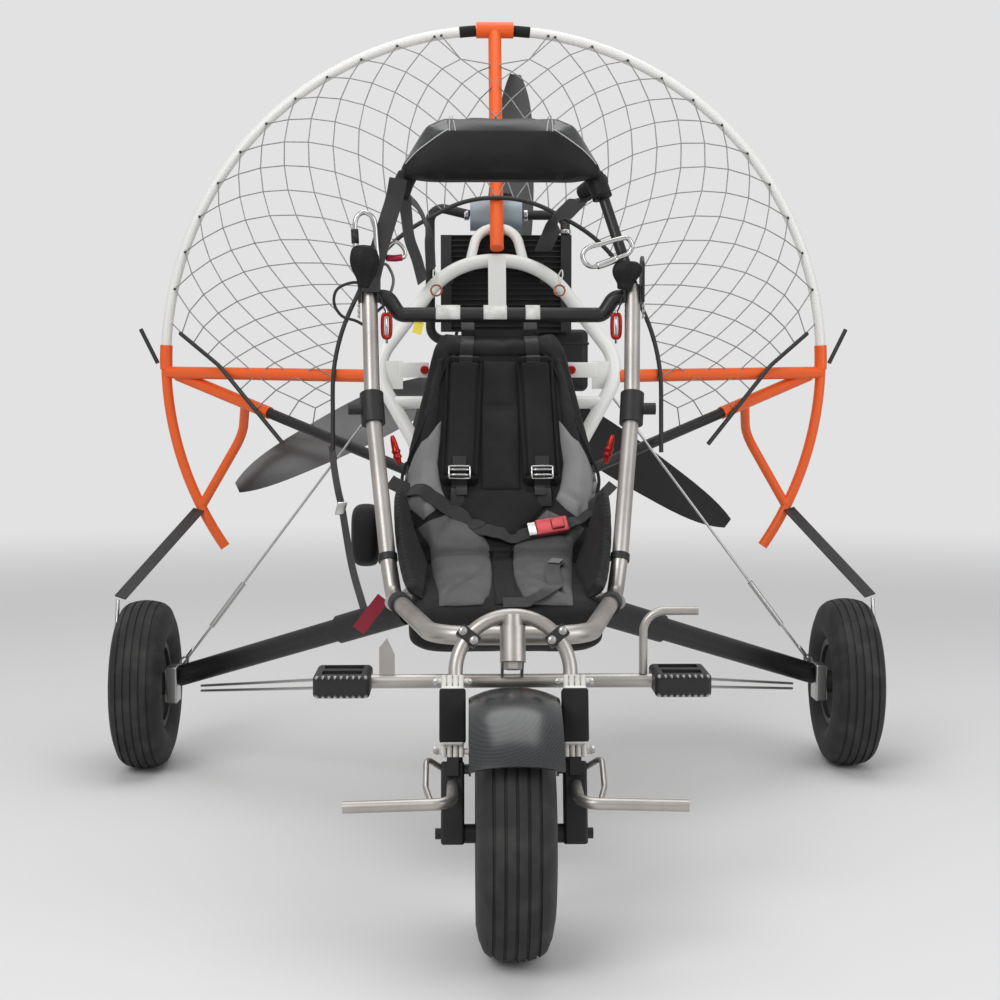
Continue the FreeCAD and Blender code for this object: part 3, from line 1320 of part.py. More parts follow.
# Intake box with its throat, on the barrel's left side.
airbox_centre = at(size.barrel_diameter / 2 + size.airbox_width / 2 + size.pipe_diameter, size.case_setback,
                   case_top + size.airbox_height / 2)
airbox = block("airbox_block", airbox_centre, "airbox_width", "airbox_depth", "airbox_height",
               rounding=size.case_round)
throat_start = at(size.barrel_diameter / 2 + size.fit_gap, size.case_setback,
                  case_top + size.barrel_height / 2)
throat_end = Vector(airbox_centre.x - size.airbox_width / 4, throat_start.y, throat_start.z)
throat = rod("intake_throat", throat_start, throat_end, "pipe_diameter")
carburettor_middle = throat_start + X * (size.carburettor_width / 2)
carburettor = block("carburettor", carburettor_middle, "carburettor_width / 2", "carburettor_width",
                    "carburettor_height")
piece("airbox", airbox, throat, carburettor)

# Fuel tank on the rails, leaning between the seat back and the hoop.
rail_top = size.base_height + size.base_tube / 2 + size.fit_gap
back_lean_share = math.tan(math.radians(size.seat_back_lean))
tank_roof = rail_top + size.fuel_height
back_face = size.seat_back_setback + size.seat_back_thickness + size.fuel_gap
hoop_face = size.hoop_foot_setback - size.fuel_hoop_gap
fuel_profile = outline(
    (at(0, back_face, 0).y, rail_top),
    (at(0, hoop_face, 0).y, rail_top),
    (at(0, hoop_face + size.fuel_height * lean_share, 0).y, tank_roof),
    (at(0, back_face + (tank_roof - size.seat_pan_height) * back_lean_share, 0).y, tank_roof),
    (at(0, back_face, 0).y, size.seat_pan_height))
fuel_body = padded_body("fuel_tank_body", "YZ_Plane", fuel_profile, "fuel_width")
fuel_body.recompute(True)
fuel_round = doc.addObject("Part::Fillet", "fuel_tank_round")
fuel_round.Base = fuel_body
fuel_edges = len(fuel_body.Shape.Edges)
fuel_round.Edges = [(number + 1, size.fuel_round, size.fuel_round) for number in range(fuel_edges)]
piece("fuel_tank", fuel_round)

# Propeller: three black blades, thick and steep at the root, thin and flat at the tip.
SPAN_SHARES = (0.14, 0.24, 0.42, 0.66, 0.88, 0.985)
CHORD_SHARES = (0.42, 0.72, 1.0, 0.9, 0.62, 0.22)
THICKNESS_SHARES = (1.9, 1.4, 1.0, 0.7, 0.42, 0.22)
TWIST_SHARES = (0.0, 0.22, 0.48, 0.74, 0.94, 1.0)
ROOT_SHARES = (0.2, 0.19)
NOSE_SHARE = 0.38
BELLY_SHARE = 0.25


def blade_body(name, turn):
    """One blade along its own Z, lofted through twisted sections, then turned to its place."""
    body = doc.addObject("PartDesign::Body", name)
    sections = []
    for number, span in enumerate(SPAN_SHARES):
        chord = size.blade_chord * CHORD_SHARES[number]
        rise = size.blade_thickness * THICKNESS_SHARES[number] / 2
        pitch = size.blade_pitch_angle - size.blade_twist_angle * TWIST_SHARES[number]
        offset = Placement(Z * (size.propeller_radius * span), Rotation(Z, pitch))
        nose = (-chord * NOSE_SHARE, 0)
        tail = (chord * (1 - NOSE_SHARE), 0)
        sections.append(sketch_on(body, f"{name}_section_{number}", "XY_Plane", [
            arc(nose, (0, rise), tail), arc(tail, (0, -rise * BELLY_SHARE), nose)], offset))
    loft = body.newObject("PartDesign::AdditiveLoft", name + "_loft")
    loft.Profile = sections[0]
    loft.Sections = sections[1:]
    body.Placement = Placement(propeller_centre, Rotation(Y, QUARTER_TURN - turn))
    return body


propeller_centre = at(0, size.propeller_setback, ring_height)
blades = []
roots = []
for number in range(int(size.blade_count)):
    turn = size.propeller_turn_angle + number * FULL_TURN / size.blade_count
    outward = Vector(math.cos(math.radians(turn)), 0, math.sin(math.radians(turn)))
    blade = blade_body(f"blade_{number}", turn)
    root_start = propeller_centre + outward * (size.prop_hub_diameter * ROOT_SHARES[0])
    root = rod(f"blade_root_{number}", root_start,
               propeller_centre + outward * (size.propeller_radius * ROOT_SHARES[1]), "blade_root")
    roots.append(root)
    joined = doc.addObject("Part::MultiFuse", f"blade_whole_{number}")
    joined.Shapes = [blade, root]
    blades.append(joined)
piece("propeller_blades", *blades, separate=True)
hub_disc = disc("prop_hub_disc", propeller_centre, Y, "prop_hub_diameter", "prop_hub_depth")
hub_front = propeller_centre - Y * (size.prop_hub_depth / 2)
gearbox_rear = shaft_centre + Y * (size.gearbox_depth / 2)
shaft_start = gearbox_rear - Y * (size.gearbox_depth / 2 - 4 * size.fit_gap)
shaft = rod("prop_shaft_rod", shaft_start, hub_front, "prop_shaft")
nose_bolt = rod("prop_nose_cap", propeller_centre + Y * (size.prop_hub_depth / 2),
                propeller_centre + Y * (size.prop_hub_depth / 2 + size.prop_nose), "prop_shaft")
hub_whole = doc.addObject("Part::MultiFuse", "prop_hub_whole")
hub_whole.Shapes = [hub_disc, shaft, nose_bolt]
piece("propeller_hub", cut("propeller_hub_trimmed", hub_whole, *blades))

# Harness seat: a padded pan with a deep front lip, and a reclining back narrower at its top.
pan_top = size.seat_pan_height - size.fit_gap
pan_low = size.seat_pan_height - size.seat_pan_thickness
back_foot = size.seat_back_setback
back_rise = size.seat_back_top - size.seat_pan_height
lip_end = size.seat_front_setback + size.pan_lip_depth
pan_corners = ((size.seat_front_setback, pan_low), (lip_end, pan_low), (lip_end, rail_top),
               (back_foot + size.seat_back_thickness, rail_top),
               (back_foot + size.seat_back_thickness, pan_top),
               (size.seat_front_setback, pan_top))
pan_outline = outline(*[(at(0, setback, 0).y, up) for setback, up in pan_corners])
seat_pan = padded_body("seat_pan_slab", "YZ_Plane", pan_outline, "pan_half_width * 2")
piece("seat_pan", cut("seat_pan_trimmed", seat_pan, base_frame, seat_loop, swing_arms))
back_top = back_foot + back_rise * back_lean_share
back_corners = ((back_foot, size.seat_pan_height), (back_top, size.seat_back_top),
                (back_top + size.seat_back_thickness, size.seat_back_top),
                (back_foot + size.seat_back_thickness, size.seat_pan_height))
back_outline = outline(*[(at(0, setback, 0).y, up) for setback, up in back_corners])
back_side = padded_body("seat_back_side", "YZ_Plane", back_outline, "seat_half_width * 2")
back_front = padded_body("seat_back_front", "XZ_Plane", outline(
    (-size.seat_half_width, size.seat_pan_height), (size.seat_half_width, size.seat_pan_height),
    (size.seat_half_width, size.seat_shoulder_height), (size.seat_top_half_width, size.seat_back_top),
    (-size.seat_top_half_width, size.seat_back_top), (-size.seat_half_width, size.seat_shoulder_height)),
    "wheelbase * 2")
seat_back = doc.addObject("Part::MultiCommon", "seat_back_common")
seat_back.Shapes = [back_side, back_front]
piece("seat_back", seat_back)

# Wing panels: padded cheeks on the pan, which lean out to hold the pilot's hips.
wings = []
for side_name, side in SIDES.items():
    wing_edges = outline(
        (side * size.wing_foot_half, size.seat_pan_height),
        (side * (size.wing_foot_half + size.wing_wall), size.seat_pan_height),
        (side * (size.wing_top_half + size.wing_wall), size.wing_top),
        (side * size.wing_top_half, size.wing_top))
    wing_middle = at(0, back_foot - size.fit_gap - size.wing_length / 2, 0)
    wings.append(padded_body("wing_" + side_name, "XZ_Plane", wing_edges, "wing_length",
                             Placement(wing_middle, Rotation())))
piece("seat_wings", *wings, separate=True)

# Shoulder pads: two thick padded straps lying on the front of the back.
pads = []
for side_name, side in SIDES.items():
    pad_foot = at(side * size.pad_spread / 2,
                  back_foot + (size.pad_bottom - size.seat_pan_height) * back_lean_share, size.pad_bottom)
    upward = Vector(0, back_lean_share, 1).normalize()
    outward = Vector(0, -1, back_lean_share).normalize()
    pad_foot += outward * (size.pad_thickness / 2 + size.fit_gap)
    pads.append(band("shoulder_pad_" + side_name, pad_foot, pad_foot + upward * size.pad_length, "pad_width",
                     "pad_thickness"))
piece("shoulder_pads", *pads, separate=True)

# Cable stays: one from each hub up to the hoop, and two from each hub forward to the crossbar.
stays = []
for side_name, side in SIDES.items():
    hub_top = arm_tips[side_name] + Z * (size.arm_height / 3)
    stay_half, stay_height = hoop_leg(LEG_SHARES["stay"])
    hoop_end = hoop(side * stay_half, stay_height)
    upward = (hoop_end - hub_top).normalize()
    buckle = rod("turnbuckle_" + side_name, hub_top + upward * size.turnbuckle_length,
                 hub_top + upward * (2 * size.turnbuckle_length), "turnbuckle")
    tall = doc.addObject("Part::MultiFuse", "tall_stay_" + side_name)
    tall.Shapes = [rod("tall_cable_" + side_name, hub_top, hoop_end, "stay_diameter"), buckle]
    stays.append(cut("tall_trimmed_" + side_name, tall, engine_hoop, swing_arms, rear_knuckles))
    for name, shift in (("upper", 1), ("lower", -1)):
        hub_low = at(side * (size.arm_tip_half - size.knuckle_depth), size.wheelbase - size.knuckle_depth,
                     size.wheel_radius + shift * size.stay_diameter)
        front = at(side * (size.crossbar_half - size.crossbar_diameter), size.crossbar_setback,
                   size.crossbar_height + shift * (size.crossbar_diameter / 2 - size.stay_diameter / 2))
        cable = rod(f"long_cable_{side_name}_{name}", hub_low, front, "stay_diameter")
        stays.append(cut(f"long_trimmed_{side_name}_{name}", cable, crossbar, swing_arms, rear_knuckles))
piece("cable_stays", *stays, separate=True)

# Axle links: an eye on each axle's outer end with a rod up, for the strap to the guard ring.
links = []
tie_straps = []
for side_name, side in SIDES.items():
    axle_end = at(side * link_half, size.wheelbase, size.wheel_radius)
    link_top = at(side * link_half, size.link_top_setback, size.link_top_height)
    eye = disc("link_eye_" + side_name, axle_end, X, "link_eye", "link_wall")
    link = doc.addObject("Part::MultiFuse", "link_" + side_name)
    link.Shapes = [eye, rod("link_rod_" + side_name, axle_end, link_top, "link_diameter")]
    links.append(cut("link_trimmed_" + side_name, link, rear_knuckles))
    low_angle = -size.brace_angle if side == 1 else FULL_TURN / 2 + size.brace_angle
    ring_low = ring_point(low_angle, size.ring_radius)
    tie_along = (ring_low - link_top).normalize()
    tie_strap = band("tie_strap_" + side_name, link_top + tie_along * size.link_diameter,
                     ring_low - tie_along * (size.ring_tube / 2), "strap_width", "strap_wall")
    tie_straps.append(cut("tie_trimmed_" + side_name, tie_strap, ring_arms_node))
piece("axle_links", *links, separate=True)
piece("tie_straps", *tie_straps, separate=True)

doc.recompute()
failed = [thing.Name for thing in doc.Objects if "Invalid" in thing.State or "Error" in thing.State]
if failed:
    raise RuntimeError(f"features failed: {failed}")
for node in nodes:
    if node.Shape.isNull() or not node.Shape.isValid() or not node.Shape.Solids:
        raise RuntimeError(f"{node.Label} has no valid solid")

os.makedirs("parts", exist_ok=True)
for node in nodes:
    node.Shape.exportStep(f"parts/{node.Label}.step")
print(len(nodes), "pieces written")
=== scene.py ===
import math

import bpy
from mathutils import Matrix, Vector


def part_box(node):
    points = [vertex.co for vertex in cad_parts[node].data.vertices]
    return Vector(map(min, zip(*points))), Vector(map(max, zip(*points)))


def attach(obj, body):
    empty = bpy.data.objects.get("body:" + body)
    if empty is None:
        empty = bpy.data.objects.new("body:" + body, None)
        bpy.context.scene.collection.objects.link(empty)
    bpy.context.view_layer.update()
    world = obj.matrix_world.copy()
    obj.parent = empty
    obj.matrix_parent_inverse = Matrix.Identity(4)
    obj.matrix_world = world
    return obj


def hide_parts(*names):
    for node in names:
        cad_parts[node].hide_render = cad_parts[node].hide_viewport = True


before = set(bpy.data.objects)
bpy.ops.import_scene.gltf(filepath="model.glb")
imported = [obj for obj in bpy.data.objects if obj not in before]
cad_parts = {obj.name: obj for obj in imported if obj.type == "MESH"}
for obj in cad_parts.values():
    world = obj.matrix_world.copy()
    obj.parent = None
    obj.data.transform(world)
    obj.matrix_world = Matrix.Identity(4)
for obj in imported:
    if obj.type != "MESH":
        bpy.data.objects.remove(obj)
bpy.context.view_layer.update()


# The camera stands 0.79 m up in front of the nose wheel, a little to the machine's right, and
# looks slightly down.
photo_pixels = 1000.0
focal_pixels = 1696.7
sensor_width = 36.0
camera_place = Vector((-0.0682, -2.9787, 0.7918))
camera_pitch = 0.0723
camera_yaw = 0.0214

camera_data = bpy.data.cameras.new("camera")
camera_data.sensor_width = sensor_width
camera_data.lens = sensor_width * focal_pixels / photo_pixels
camera = bpy.data.objects.new("camera", camera_data)
bpy.context.scene.collection.objects.link(camera)
camera.location = camera_place
camera.rotation_euler = (math.pi / 2 - camera_pitch, 0, -camera_yaw)
bpy.context.scene.camera = camera
bpy.context.scene.view_settings.view_transform = "Standard"


# The studio: one pale floor that fades into a pale surround, lit by three broad soft lamps.
floor_half = 30.0
floor_colour = (0.72, 0.72, 0.72, 1)
floor_roughness = 0.9
floor_shine = 0.1
backdrop_colour = (0.76, 0.76, 0.76, 1)
fade_start = 2.6
fade_end = 6.5
world_colour = (0.93, 0.93, 0.93, 1)
world_strength = 0.55
lamps = (
    ("key_lamp", (-2.2, -3.6, 3.4), (0, 0, 0.7), 2.4, 95),
    ("fill_lamp", (3.0, -2.6, 2.0), (0, 0, 0.6), 2.6, 45),
    ("top_lamp", (0, 0.6, 4.2), (0, 0, 0.6), 3.0, 60))


def add_node(tree, kind, inputs, **settings):
    """A shader node; each of its inputs gets a value or is linked to another node's output."""
    node = tree.nodes.new(kind)
    for name, setting in settings.items():
        setattr(node, name, setting)
    for place, value in inputs.items():
        if isinstance(value, bpy.types.NodeSocket):
            tree.links.new(value, node.inputs[place])
        else:
            node.inputs[place].default_value = value
    return node


bpy.ops.object.select_all(action="DESELECT")
bpy.ops.mesh.primitive_plane_add(size=2 * floor_half, location=(0, 0, 0))
floor = bpy.context.object
floor.name = "studio_floor"
floor_paint = bpy.data.materials.new("floor_paint")
floor_paint.use_nodes = True
tree = floor_paint.node_tree
shader = tree.nodes["Principled BSDF"]
shader.inputs["Base Color"].default_value = floor_colour
shader.inputs["Roughness"].default_value = floor_roughness
shader.inputs["Specular IOR Level"].default_value = floor_shine
where = add_node(tree, "ShaderNodeTexCoord", {})
reach = add_node(tree, "ShaderNodeVectorMath", {0: where.outputs["Object"]}, operation="LENGTH")
fade = add_node(tree, "ShaderNodeMapRange",
                {"Value": reach.outputs["Value"], "From Min": fade_start, "From Max": fade_end},
                interpolation_type="SMOOTHSTEP")
ray = add_node(tree, "ShaderNodeLightPath", {})
share = add_node(tree, "ShaderNodeMath",
                 {0: fade.outputs["Result"], 1: ray.outputs["Is Camera Ray"]}, operation="MULTIPLY")
glow = add_node(tree, "ShaderNodeEmission", {"Color": backdrop_colour, "Strength": 1.0})
mix = add_node(tree, "ShaderNodeMixShader",
               {"Fac": share.outputs["Value"], 1: shader.outputs["BSDF"], 2: glow.outputs["Emission"]})
tree.links.new(mix.outputs["Shader"], tree.nodes["Material Output"].inputs["Surface"])
floor.data.materials.append(floor_paint)

world = bpy.data.worlds.new("studio_surround")
bpy.context.scene.world = world
world.use_nodes = True
tree = world.node_tree
sky = tree.nodes["Background"]
sky.inputs["Color"].default_value = world_colour
sky.inputs["Strength"].default_value = world_strength
ray = add_node(tree, "ShaderNodeLightPath", {})
backdrop = add_node(tree, "ShaderNodeBackground", {"Color": backdrop_colour, "Strength": 1.0})
mix = add_node(tree, "ShaderNodeMixShader",
               {"Fac": ray.outputs["Is Camera Ray"], 1: sky.outputs["Background"],
                2: backdrop.outputs["Background"]})
tree.links.new(mix.outputs["Shader"], tree.nodes["World Output"].inputs["Surface"])

for name, place, target, width, power in lamps:
    lamp_data = bpy.data.lights.new(name, "AREA")
    lamp_data.size = width
    lamp_data.energy = power
    lamp = bpy.data.objects.new(name, lamp_data)
    bpy.context.scene.collection.objects.link(lamp)
    lamp.location = place
    lamp.rotation_euler = (Vector(target) - Vector(place)).to_track_quat("-Z", "Y").to_euler()


# Tyres: small ribbed trolley-type tyres of black rubber, one on each wheel, with five fine
# grooves round the tread and a bare rounded side wall that tucks in to the rim's flange.
tyre_radius = 0.170
tyre_bead = 0.0796
tyre_heel = 0.0885
tyre_heel_half = 0.0316
tyre_belly = 0.122
tyre_belly_half = 0.0530
tyre_shoulder = 0.1565
tyre_shoulder_half = 0.0425
tyre_crown_drop = 0.0095
tyre_wall = 0.008
tyre_steps = 112
groove_places = (-0.030, -0.015, 0.0, 0.015, 0.030)
groove_half = 0.0014
groove_lip = 1.6 * groove_half
groove_depth = 0.0028
groove_profile = (
    (-groove_lip, 0), (-groove_half, groove_depth), (groove_half, groove_depth), (groove_lip, 0))
tyre_black = (0.022, 0.022, 0.023, 1)
tyre_dust = (0.060, 0.058, 0.055, 1)
weld_gap = 0.00002


def place_noise(tree, scale, detail=3.0, stretch=(1, 1, 1)):
    """A noise that is fixed to the piece, drawn out along an axis where it is brushed."""
    where = add_node(tree, "ShaderNodeTexCoord", {})
    fit = add_node(tree, "ShaderNodeMapping", {"Vector": where.outputs["Object"], "Scale": stretch})
    return add_node(tree, "ShaderNodeTexNoise",
                    {"Vector": fit.outputs["Vector"], "Scale": scale, "Detail": detail}).outputs["Fac"]


def raise_grain(tree, shader, height, depth, strength=1.0):
    """Bumps the surface by a height map, depth metres high."""
    bump = add_node(tree, "ShaderNodeBump", {"Height": height, "Strength": strength, "Distance": depth})
    tree.links.new(bump.outputs["Normal"], shader.inputs["Normal"])


def two_tones(tree, shader, factor, first, second, low=0.35, high=0.65):
    """The surface's colour runs from the first to the second by a factor."""
    ramp = add_node(tree, "ShaderNodeValToRGB", {"Fac": factor})
    for stop, place, colour in zip(ramp.color_ramp.elements, (low, high), (first, second)):
        stop.position = place
        stop.color = colour
    tree.links.new(ramp.outputs["Color"], shader.inputs["Base Color"])


def vary_gloss(tree, shader, factor, low, high):
    """The surface's roughness runs from low to high by a factor."""
    span = add_node(tree, "ShaderNodeMapRange", {"Value": factor, "To Min": low, "To Max": high})
    tree.links.new(span.outputs["Result"], shader.inputs["Roughness"])


def new_finish(name, colour, roughness, metallic=0.0, gloss=None, grain=None):
    """A material, its tree and its shader.

    Gloss is a noise's scale and detail, with the roughness it runs between; grain is a noise's
    scale and detail, with the bump's depth and strength.
    """
    finish = bpy.data.materials.new(name)
    finish.use_nodes = True
    tree = finish.node_tree
    shader = tree.nodes["Principled BSDF"]
    shader.inputs["Base Color"].default_value = colour
    shader.inputs["Roughness"].default_value = roughness
    shader.inputs["Metallic"].default_value = metallic
    if gloss:
        vary_gloss(tree, shader, place_noise(tree, *gloss[:2]), *gloss[2:])
    if grain:
        raise_grain(tree, shader, place_noise(tree, *grain[:2]), *grain[2:])
    return finish, tree, shader


def wear_finish(piece, finish):
    """The piece gets this one finish all over."""
    piece.data.materials.clear()
    piece.data.materials.append(finish)


def start_piece(name, piece, finish, body="chassis"):
    """Names a new piece, gives it its finish and lets it ride on its body."""
    piece.name = name
    wear_finish(piece, finish)
    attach(piece, body)


tyre_rubber, tree, shader = new_finish("tyre_rubber", tyre_black, 0.72, grain=(900, 2, 0.0002, 0.5))
shader.inputs["Specular IOR Level"].default_value = 0.3
scuffs = place_noise(tree, 22, 6)
two_tones(tree, shader, scuffs, tyre_black, tyre_dust, 0.45, 0.85)
vary_gloss(tree, shader, scuffs, 0.55, 0.86)

tread_edge = []
for groove in groove_places:
    for shift, drop in groove_profile:
        across = groove + shift
        crown = tyre_radius - tyre_crown_drop * (across / tyre_shoulder_half) ** 2
        tread_edge.append((across, crown - drop))
side_edge = [
    (tyre_shoulder_half - 0.003, tyre_shoulder + 0.003), (tyre_shoulder_half, tyre_shoulder),
    (tyre_belly_half - 0.004, tyre_belly + 0.019), (tyre_belly_half, tyre_belly),
    (tyre_belly_half - 0.0035, tyre_belly - 0.016), (tyre_heel_half + 0.0085, tyre_heel + 0.005),
    (tyre_heel_half, tyre_heel), (tyre_heel_half, tyre_bead),
    (tyre_heel_half - tyre_wall, tyre_bead), (tyre_heel_half - tyre_wall, tyre_heel),
    (tyre_belly_half - tyre_wall, tyre_belly),
    (tyre_shoulder_half - tyre_wall, tyre_shoulder - tyre_wall)]
tyre_profile = (tread_edge + side_edge + [(0, tyre_radius - 1.4 * tyre_wall)]
                + [(-across, radius) for across, radius in reversed(side_edge)])


def turned_piece(profile, centre, steps, axis=(1, 0, 0)):
    """A closed profile of (across, radius) points, spun once round its axis."""
    along = Vector(axis)
    outward = Vector((0, 0, 1)) if abs(along.z) < 0.9 else Vector((1, 0, 0))
    bpy.ops.object.select_all(action="DESELECT")
    bpy.ops.mesh.primitive_circle_add(vertices=len(profile), radius=1.0)
    piece = bpy.context.object
    for vertex, (across, radius) in zip(piece.data.vertices, profile):
        vertex.co = Vector(centre) + along * across + outward * radius
    bpy.ops.object.mode_set(mode="EDIT")
    bpy.ops.mesh.select_all(action="SELECT")
    bpy.ops.mesh.spin(steps=steps, angle=2 * math.pi, center=centre, axis=axis)
    bpy.ops.mesh.select_all(action="SELECT")
    bpy.ops.mesh.remove_doubles(threshold=weld_gap)
    bpy.ops.mesh.normals_make_consistent(inside=False)
    bpy.ops.object.mode_set(mode="OBJECT")
    bpy.ops.object.shade_smooth_by_angle(angle=math.radians(32))
    return piece


wheels = (("front", "front_wheel"), ("rear_left", "rear_wheel_left"), ("rear_right", "rear_wheel_right"))
for wheel, body in wheels:
    low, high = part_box(wheel + "_tyre")
    tyre = turned_piece(tyre_profile, (Vector(low) + Vector(high)) / 2, tyre_steps)
    start_piece(wheel + "_ribbed_tyre", tyre, tyre_rubber, body)
    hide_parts(wheel + "_tyre")


# Rims: black moulded two-flange rims with five round holes in the web.
rim_black = (0.026, 0.026, 0.028, 1)

rim_plastic = new_finish("rim_plastic", rim_black, 0.45, gloss=(30, 4, 0.36, 0.58),
                         grain=(700, 2, 0.00015, 0.4))[0]
for wheel, body in wheels:
    wear_finish(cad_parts[wheel + "_rim"], rim_plastic)


# The seat frame, fork, foot bars, crossbar, rails and lever: aluminium tube, brushed lengthwise
# and left bare, with faint handling marks.
tube_silver = (0.50, 0.475, 0.45, 1)
tube_shadow = (0.36, 0.34, 0.325, 1)

silver_tube, tree, shader = new_finish("silver_tube", tube_silver, 0.36, 0.85)
two_tones(tree, shader, place_noise(tree, 9, 5), tube_shadow, tube_silver, 0.25, 0.62)
vary_gloss(tree, shader, place_noise(tree, 60, 4, (1, 1, 9)), 0.28, 0.50)
for node in ("fork_arch", "foot_bars", "seat_loop", "side_tubes", "head_tube", "crossbar", "brake_lever",
             "base_frame"):
    wear_finish(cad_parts[node], silver_tube)


# Rear swing arms, upper bars, spreader bar and engine struts: the same tube anodised or painted
# black, with a low gloss.
anodised_black = (0.009, 0.009, 0.010, 1)

black_tube = new_finish("black_tube", anodised_black, 0.38, gloss=(40, 4, 0.30, 0.48))[0]
for node in ("swing_arms", "hang_plates", "upper_bars", "spreader_bar", "ring_struts"):
    wear_finish(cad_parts[node], black_tube)


# Guard ring and engine hoop: white powder coat. Mast and ring arms: orange powder coat. Both have
# the coat's fine orange peel.
coat_white = (0.80, 0.80, 0.78, 1)
coat_orange = (0.83, 0.115, 0.012, 1)
orange_peel = (420, 2, 0.00012, 0.35)

white_coat = new_finish("white_coat", coat_white, 0.32, gloss=(14, 4, 0.26, 0.42), grain=orange_peel)[0]
orange_coat = new_finish("orange_coat", coat_orange, 0.34, gloss=(14, 4, 0.28, 0.44), grain=orange_peel)[0]
for node, finish in (("engine_hoop", white_coat), ("ring_top", white_coat), ("mast", orange_coat),
                     ("ring_arms", orange_coat)):
    wear_finish(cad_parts[node], finish)


# Moulded black parts: frame clamps, stop clamps, fork sliders, footrests and the air box.
moulding_black = (0.009, 0.009, 0.010, 1)

black_moulding = new_finish("black_moulding", moulding_black, 0.5, gloss=(34, 4, 0.40, 0.60),
                            grain=(800, 2, 0.00012, 0.5))[0]
for node in ("frame_clamps", "stop_clamps", "fork_sliders", "footrests", "airbox"):
    wear_finish(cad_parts[node], black_moulding)


# Mudguard: carbon cloth under clear lacquer, its twill showing as fine diagonal squares.
carbon_dark = (0.012, 0.013, 0.014, 1)
carbon_light = (0.032, 0.034, 0.036, 1)
weave_pitch = 0.0019
weave_turn = (0.62, 0.31, math.pi / 4)

carbon_lacquer, tree, shader = new_finish("carbon_lacquer", carbon_dark, 0.22)
shader.inputs["Coat Weight"].default_value = 0.3
shader.inputs["Coat Roughness"].default_value = 0.2
where = add_node(tree, "ShaderNodeTexCoord", {})
turned = add_node(tree, "ShaderNodeMapping", {"Vector": where.outputs["Object"], "Rotation": weave_turn})
weave = add_node(tree, "ShaderNodeTexChecker", {"Vector": turned.outputs["Vector"], "Scale": 1 / weave_pitch})
two_tones(tree, shader, weave.outputs["Fac"], carbon_dark, carbon_light, 0.2, 0.8)
wear_finish(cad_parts["mudguard"], carbon_lacquer)


# Engine: castings in black crackle paint, a bare cylinder and gearbox, a black radiator core, a
# milky header tank and fuel tank, rubber hoses and a heat-painted exhaust.
casting_grey = (0.20, 0.20, 0.205, 1)
block_paint = (0.030, 0.030, 0.032, 1)
core_black = (0.016, 0.016, 0.017, 1)
header_grey = (0.36, 0.44, 0.50, 1)
fuel_milk = (0.62, 0.60, 0.53, 1)
hose_black = (0.014, 0.014, 0.015, 1)
soot_black = (0.030, 0.029, 0.028, 1)
soot_brown = (0.075, 0.062, 0.052, 1)

cast_metal = new_finish("cast_metal", casting_grey, 0.5, 0.9, grain=(500, 4, 0.0003, 0.5))[0]
block_coat = new_finish("block_coat", block_paint, 0.55, grain=(600, 4, 0.0003, 0.6))[0]
core_paint = new_finish("core_paint", core_black, 0.55)[0]
header_plastic = new_finish("header_plastic", header_grey, 0.4, gloss=(40, 3, 0.32, 0.5))[0]
milky_plastic, tree, shader = new_finish("milky_plastic", fuel_milk, 0.42)
shader.inputs["Subsurface Weight"].default_value = 0.2
shader.inputs["Subsurface Radius"].default_value = (0.01, 0.01, 0.008)
hose_rubber = new_finish("hose_rubber", hose_black, 0.6, gloss=(50, 4, 0.45, 0.7))[0]
exhaust_paint, tree, shader = new_finish("exhaust_paint", soot_black, 0.6)
two_tones(tree, shader, place_noise(tree, 18, 6), soot_black, soot_brown, 0.4, 0.8)
for node, finish in (("cylinder", cast_metal), ("gearbox", cast_metal), ("propeller_hub", cast_metal),
                     ("engine_mounts", block_coat), ("crankcase", block_coat), ("radiator", core_paint),
                     ("coolant_tank", header_plastic), ("fuel_tank", milky_plastic),
                     ("coolant_hoses", hose_rubber), ("exhaust", exhaust_paint)):
    wear_finish(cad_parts[node], finish)


# Propeller: gloss black moulded blades.
blade_black = (0.008, 0.008, 0.009, 1)

blade_gloss, tree, shader = new_finish("blade_gloss", blade_black, 0.3, gloss=(12, 3, 0.28, 0.36))
shader.inputs["Coat Weight"].default_value = 0.25
shader.inputs["Coat Roughness"].default_value = 0.16
wear_finish(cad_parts["propeller_blades"], blade_gloss)


# Stays, links and knuckles: stainless wire, rod and turned steel.
steel_grey = (0.50, 0.50, 0.49, 1)

bolt_steel = new_finish("bolt_steel", steel_grey, 0.3, 1.0, gloss=(160, 3, 0.22, 0.45))[0]
for node in ("cable_stays", "axle_links", "rear_knuckles"):
    wear_finish(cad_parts[node], bolt_steel)


# Seat shells: the harness seat is a black nylon case filled with foam, a pan with a deep front
# lip and a reclining back that widens at the hips. Its face follows one line from the lip to the
# head; the two cases are puffed up as cloth and stay near their CAD slabs.
seat_line = (
    (-0.270, 0.392), (-0.264, 0.420), (-0.240, 0.436), (-0.100, 0.446), (0.020, 0.462), (0.085, 0.500),
    (0.130, 0.560), (0.158, 0.600), (0.205, 0.700), (0.250, 0.800), (0.293, 0.893))
back_widths = (
    (0.350, 0.152), (0.393, 0.165), (0.450, 0.176), (0.495, 0.182), (0.540, 0.184), (0.592, 0.180),
    (0.640, 0.169), (0.700, 0.156), (0.766, 0.141), (0.812, 0.130), (0.838, 0.114))
back_foot, back_head = 0.350, 0.838
back_depth = 0.066
back_inset = 0.004
back_bolster = 0.014
back_end_share = 0.55
back_end_step = 0.15
back_rows = 34
case_turns = 48
back_corner = 0.45
pan_corner = 0.35
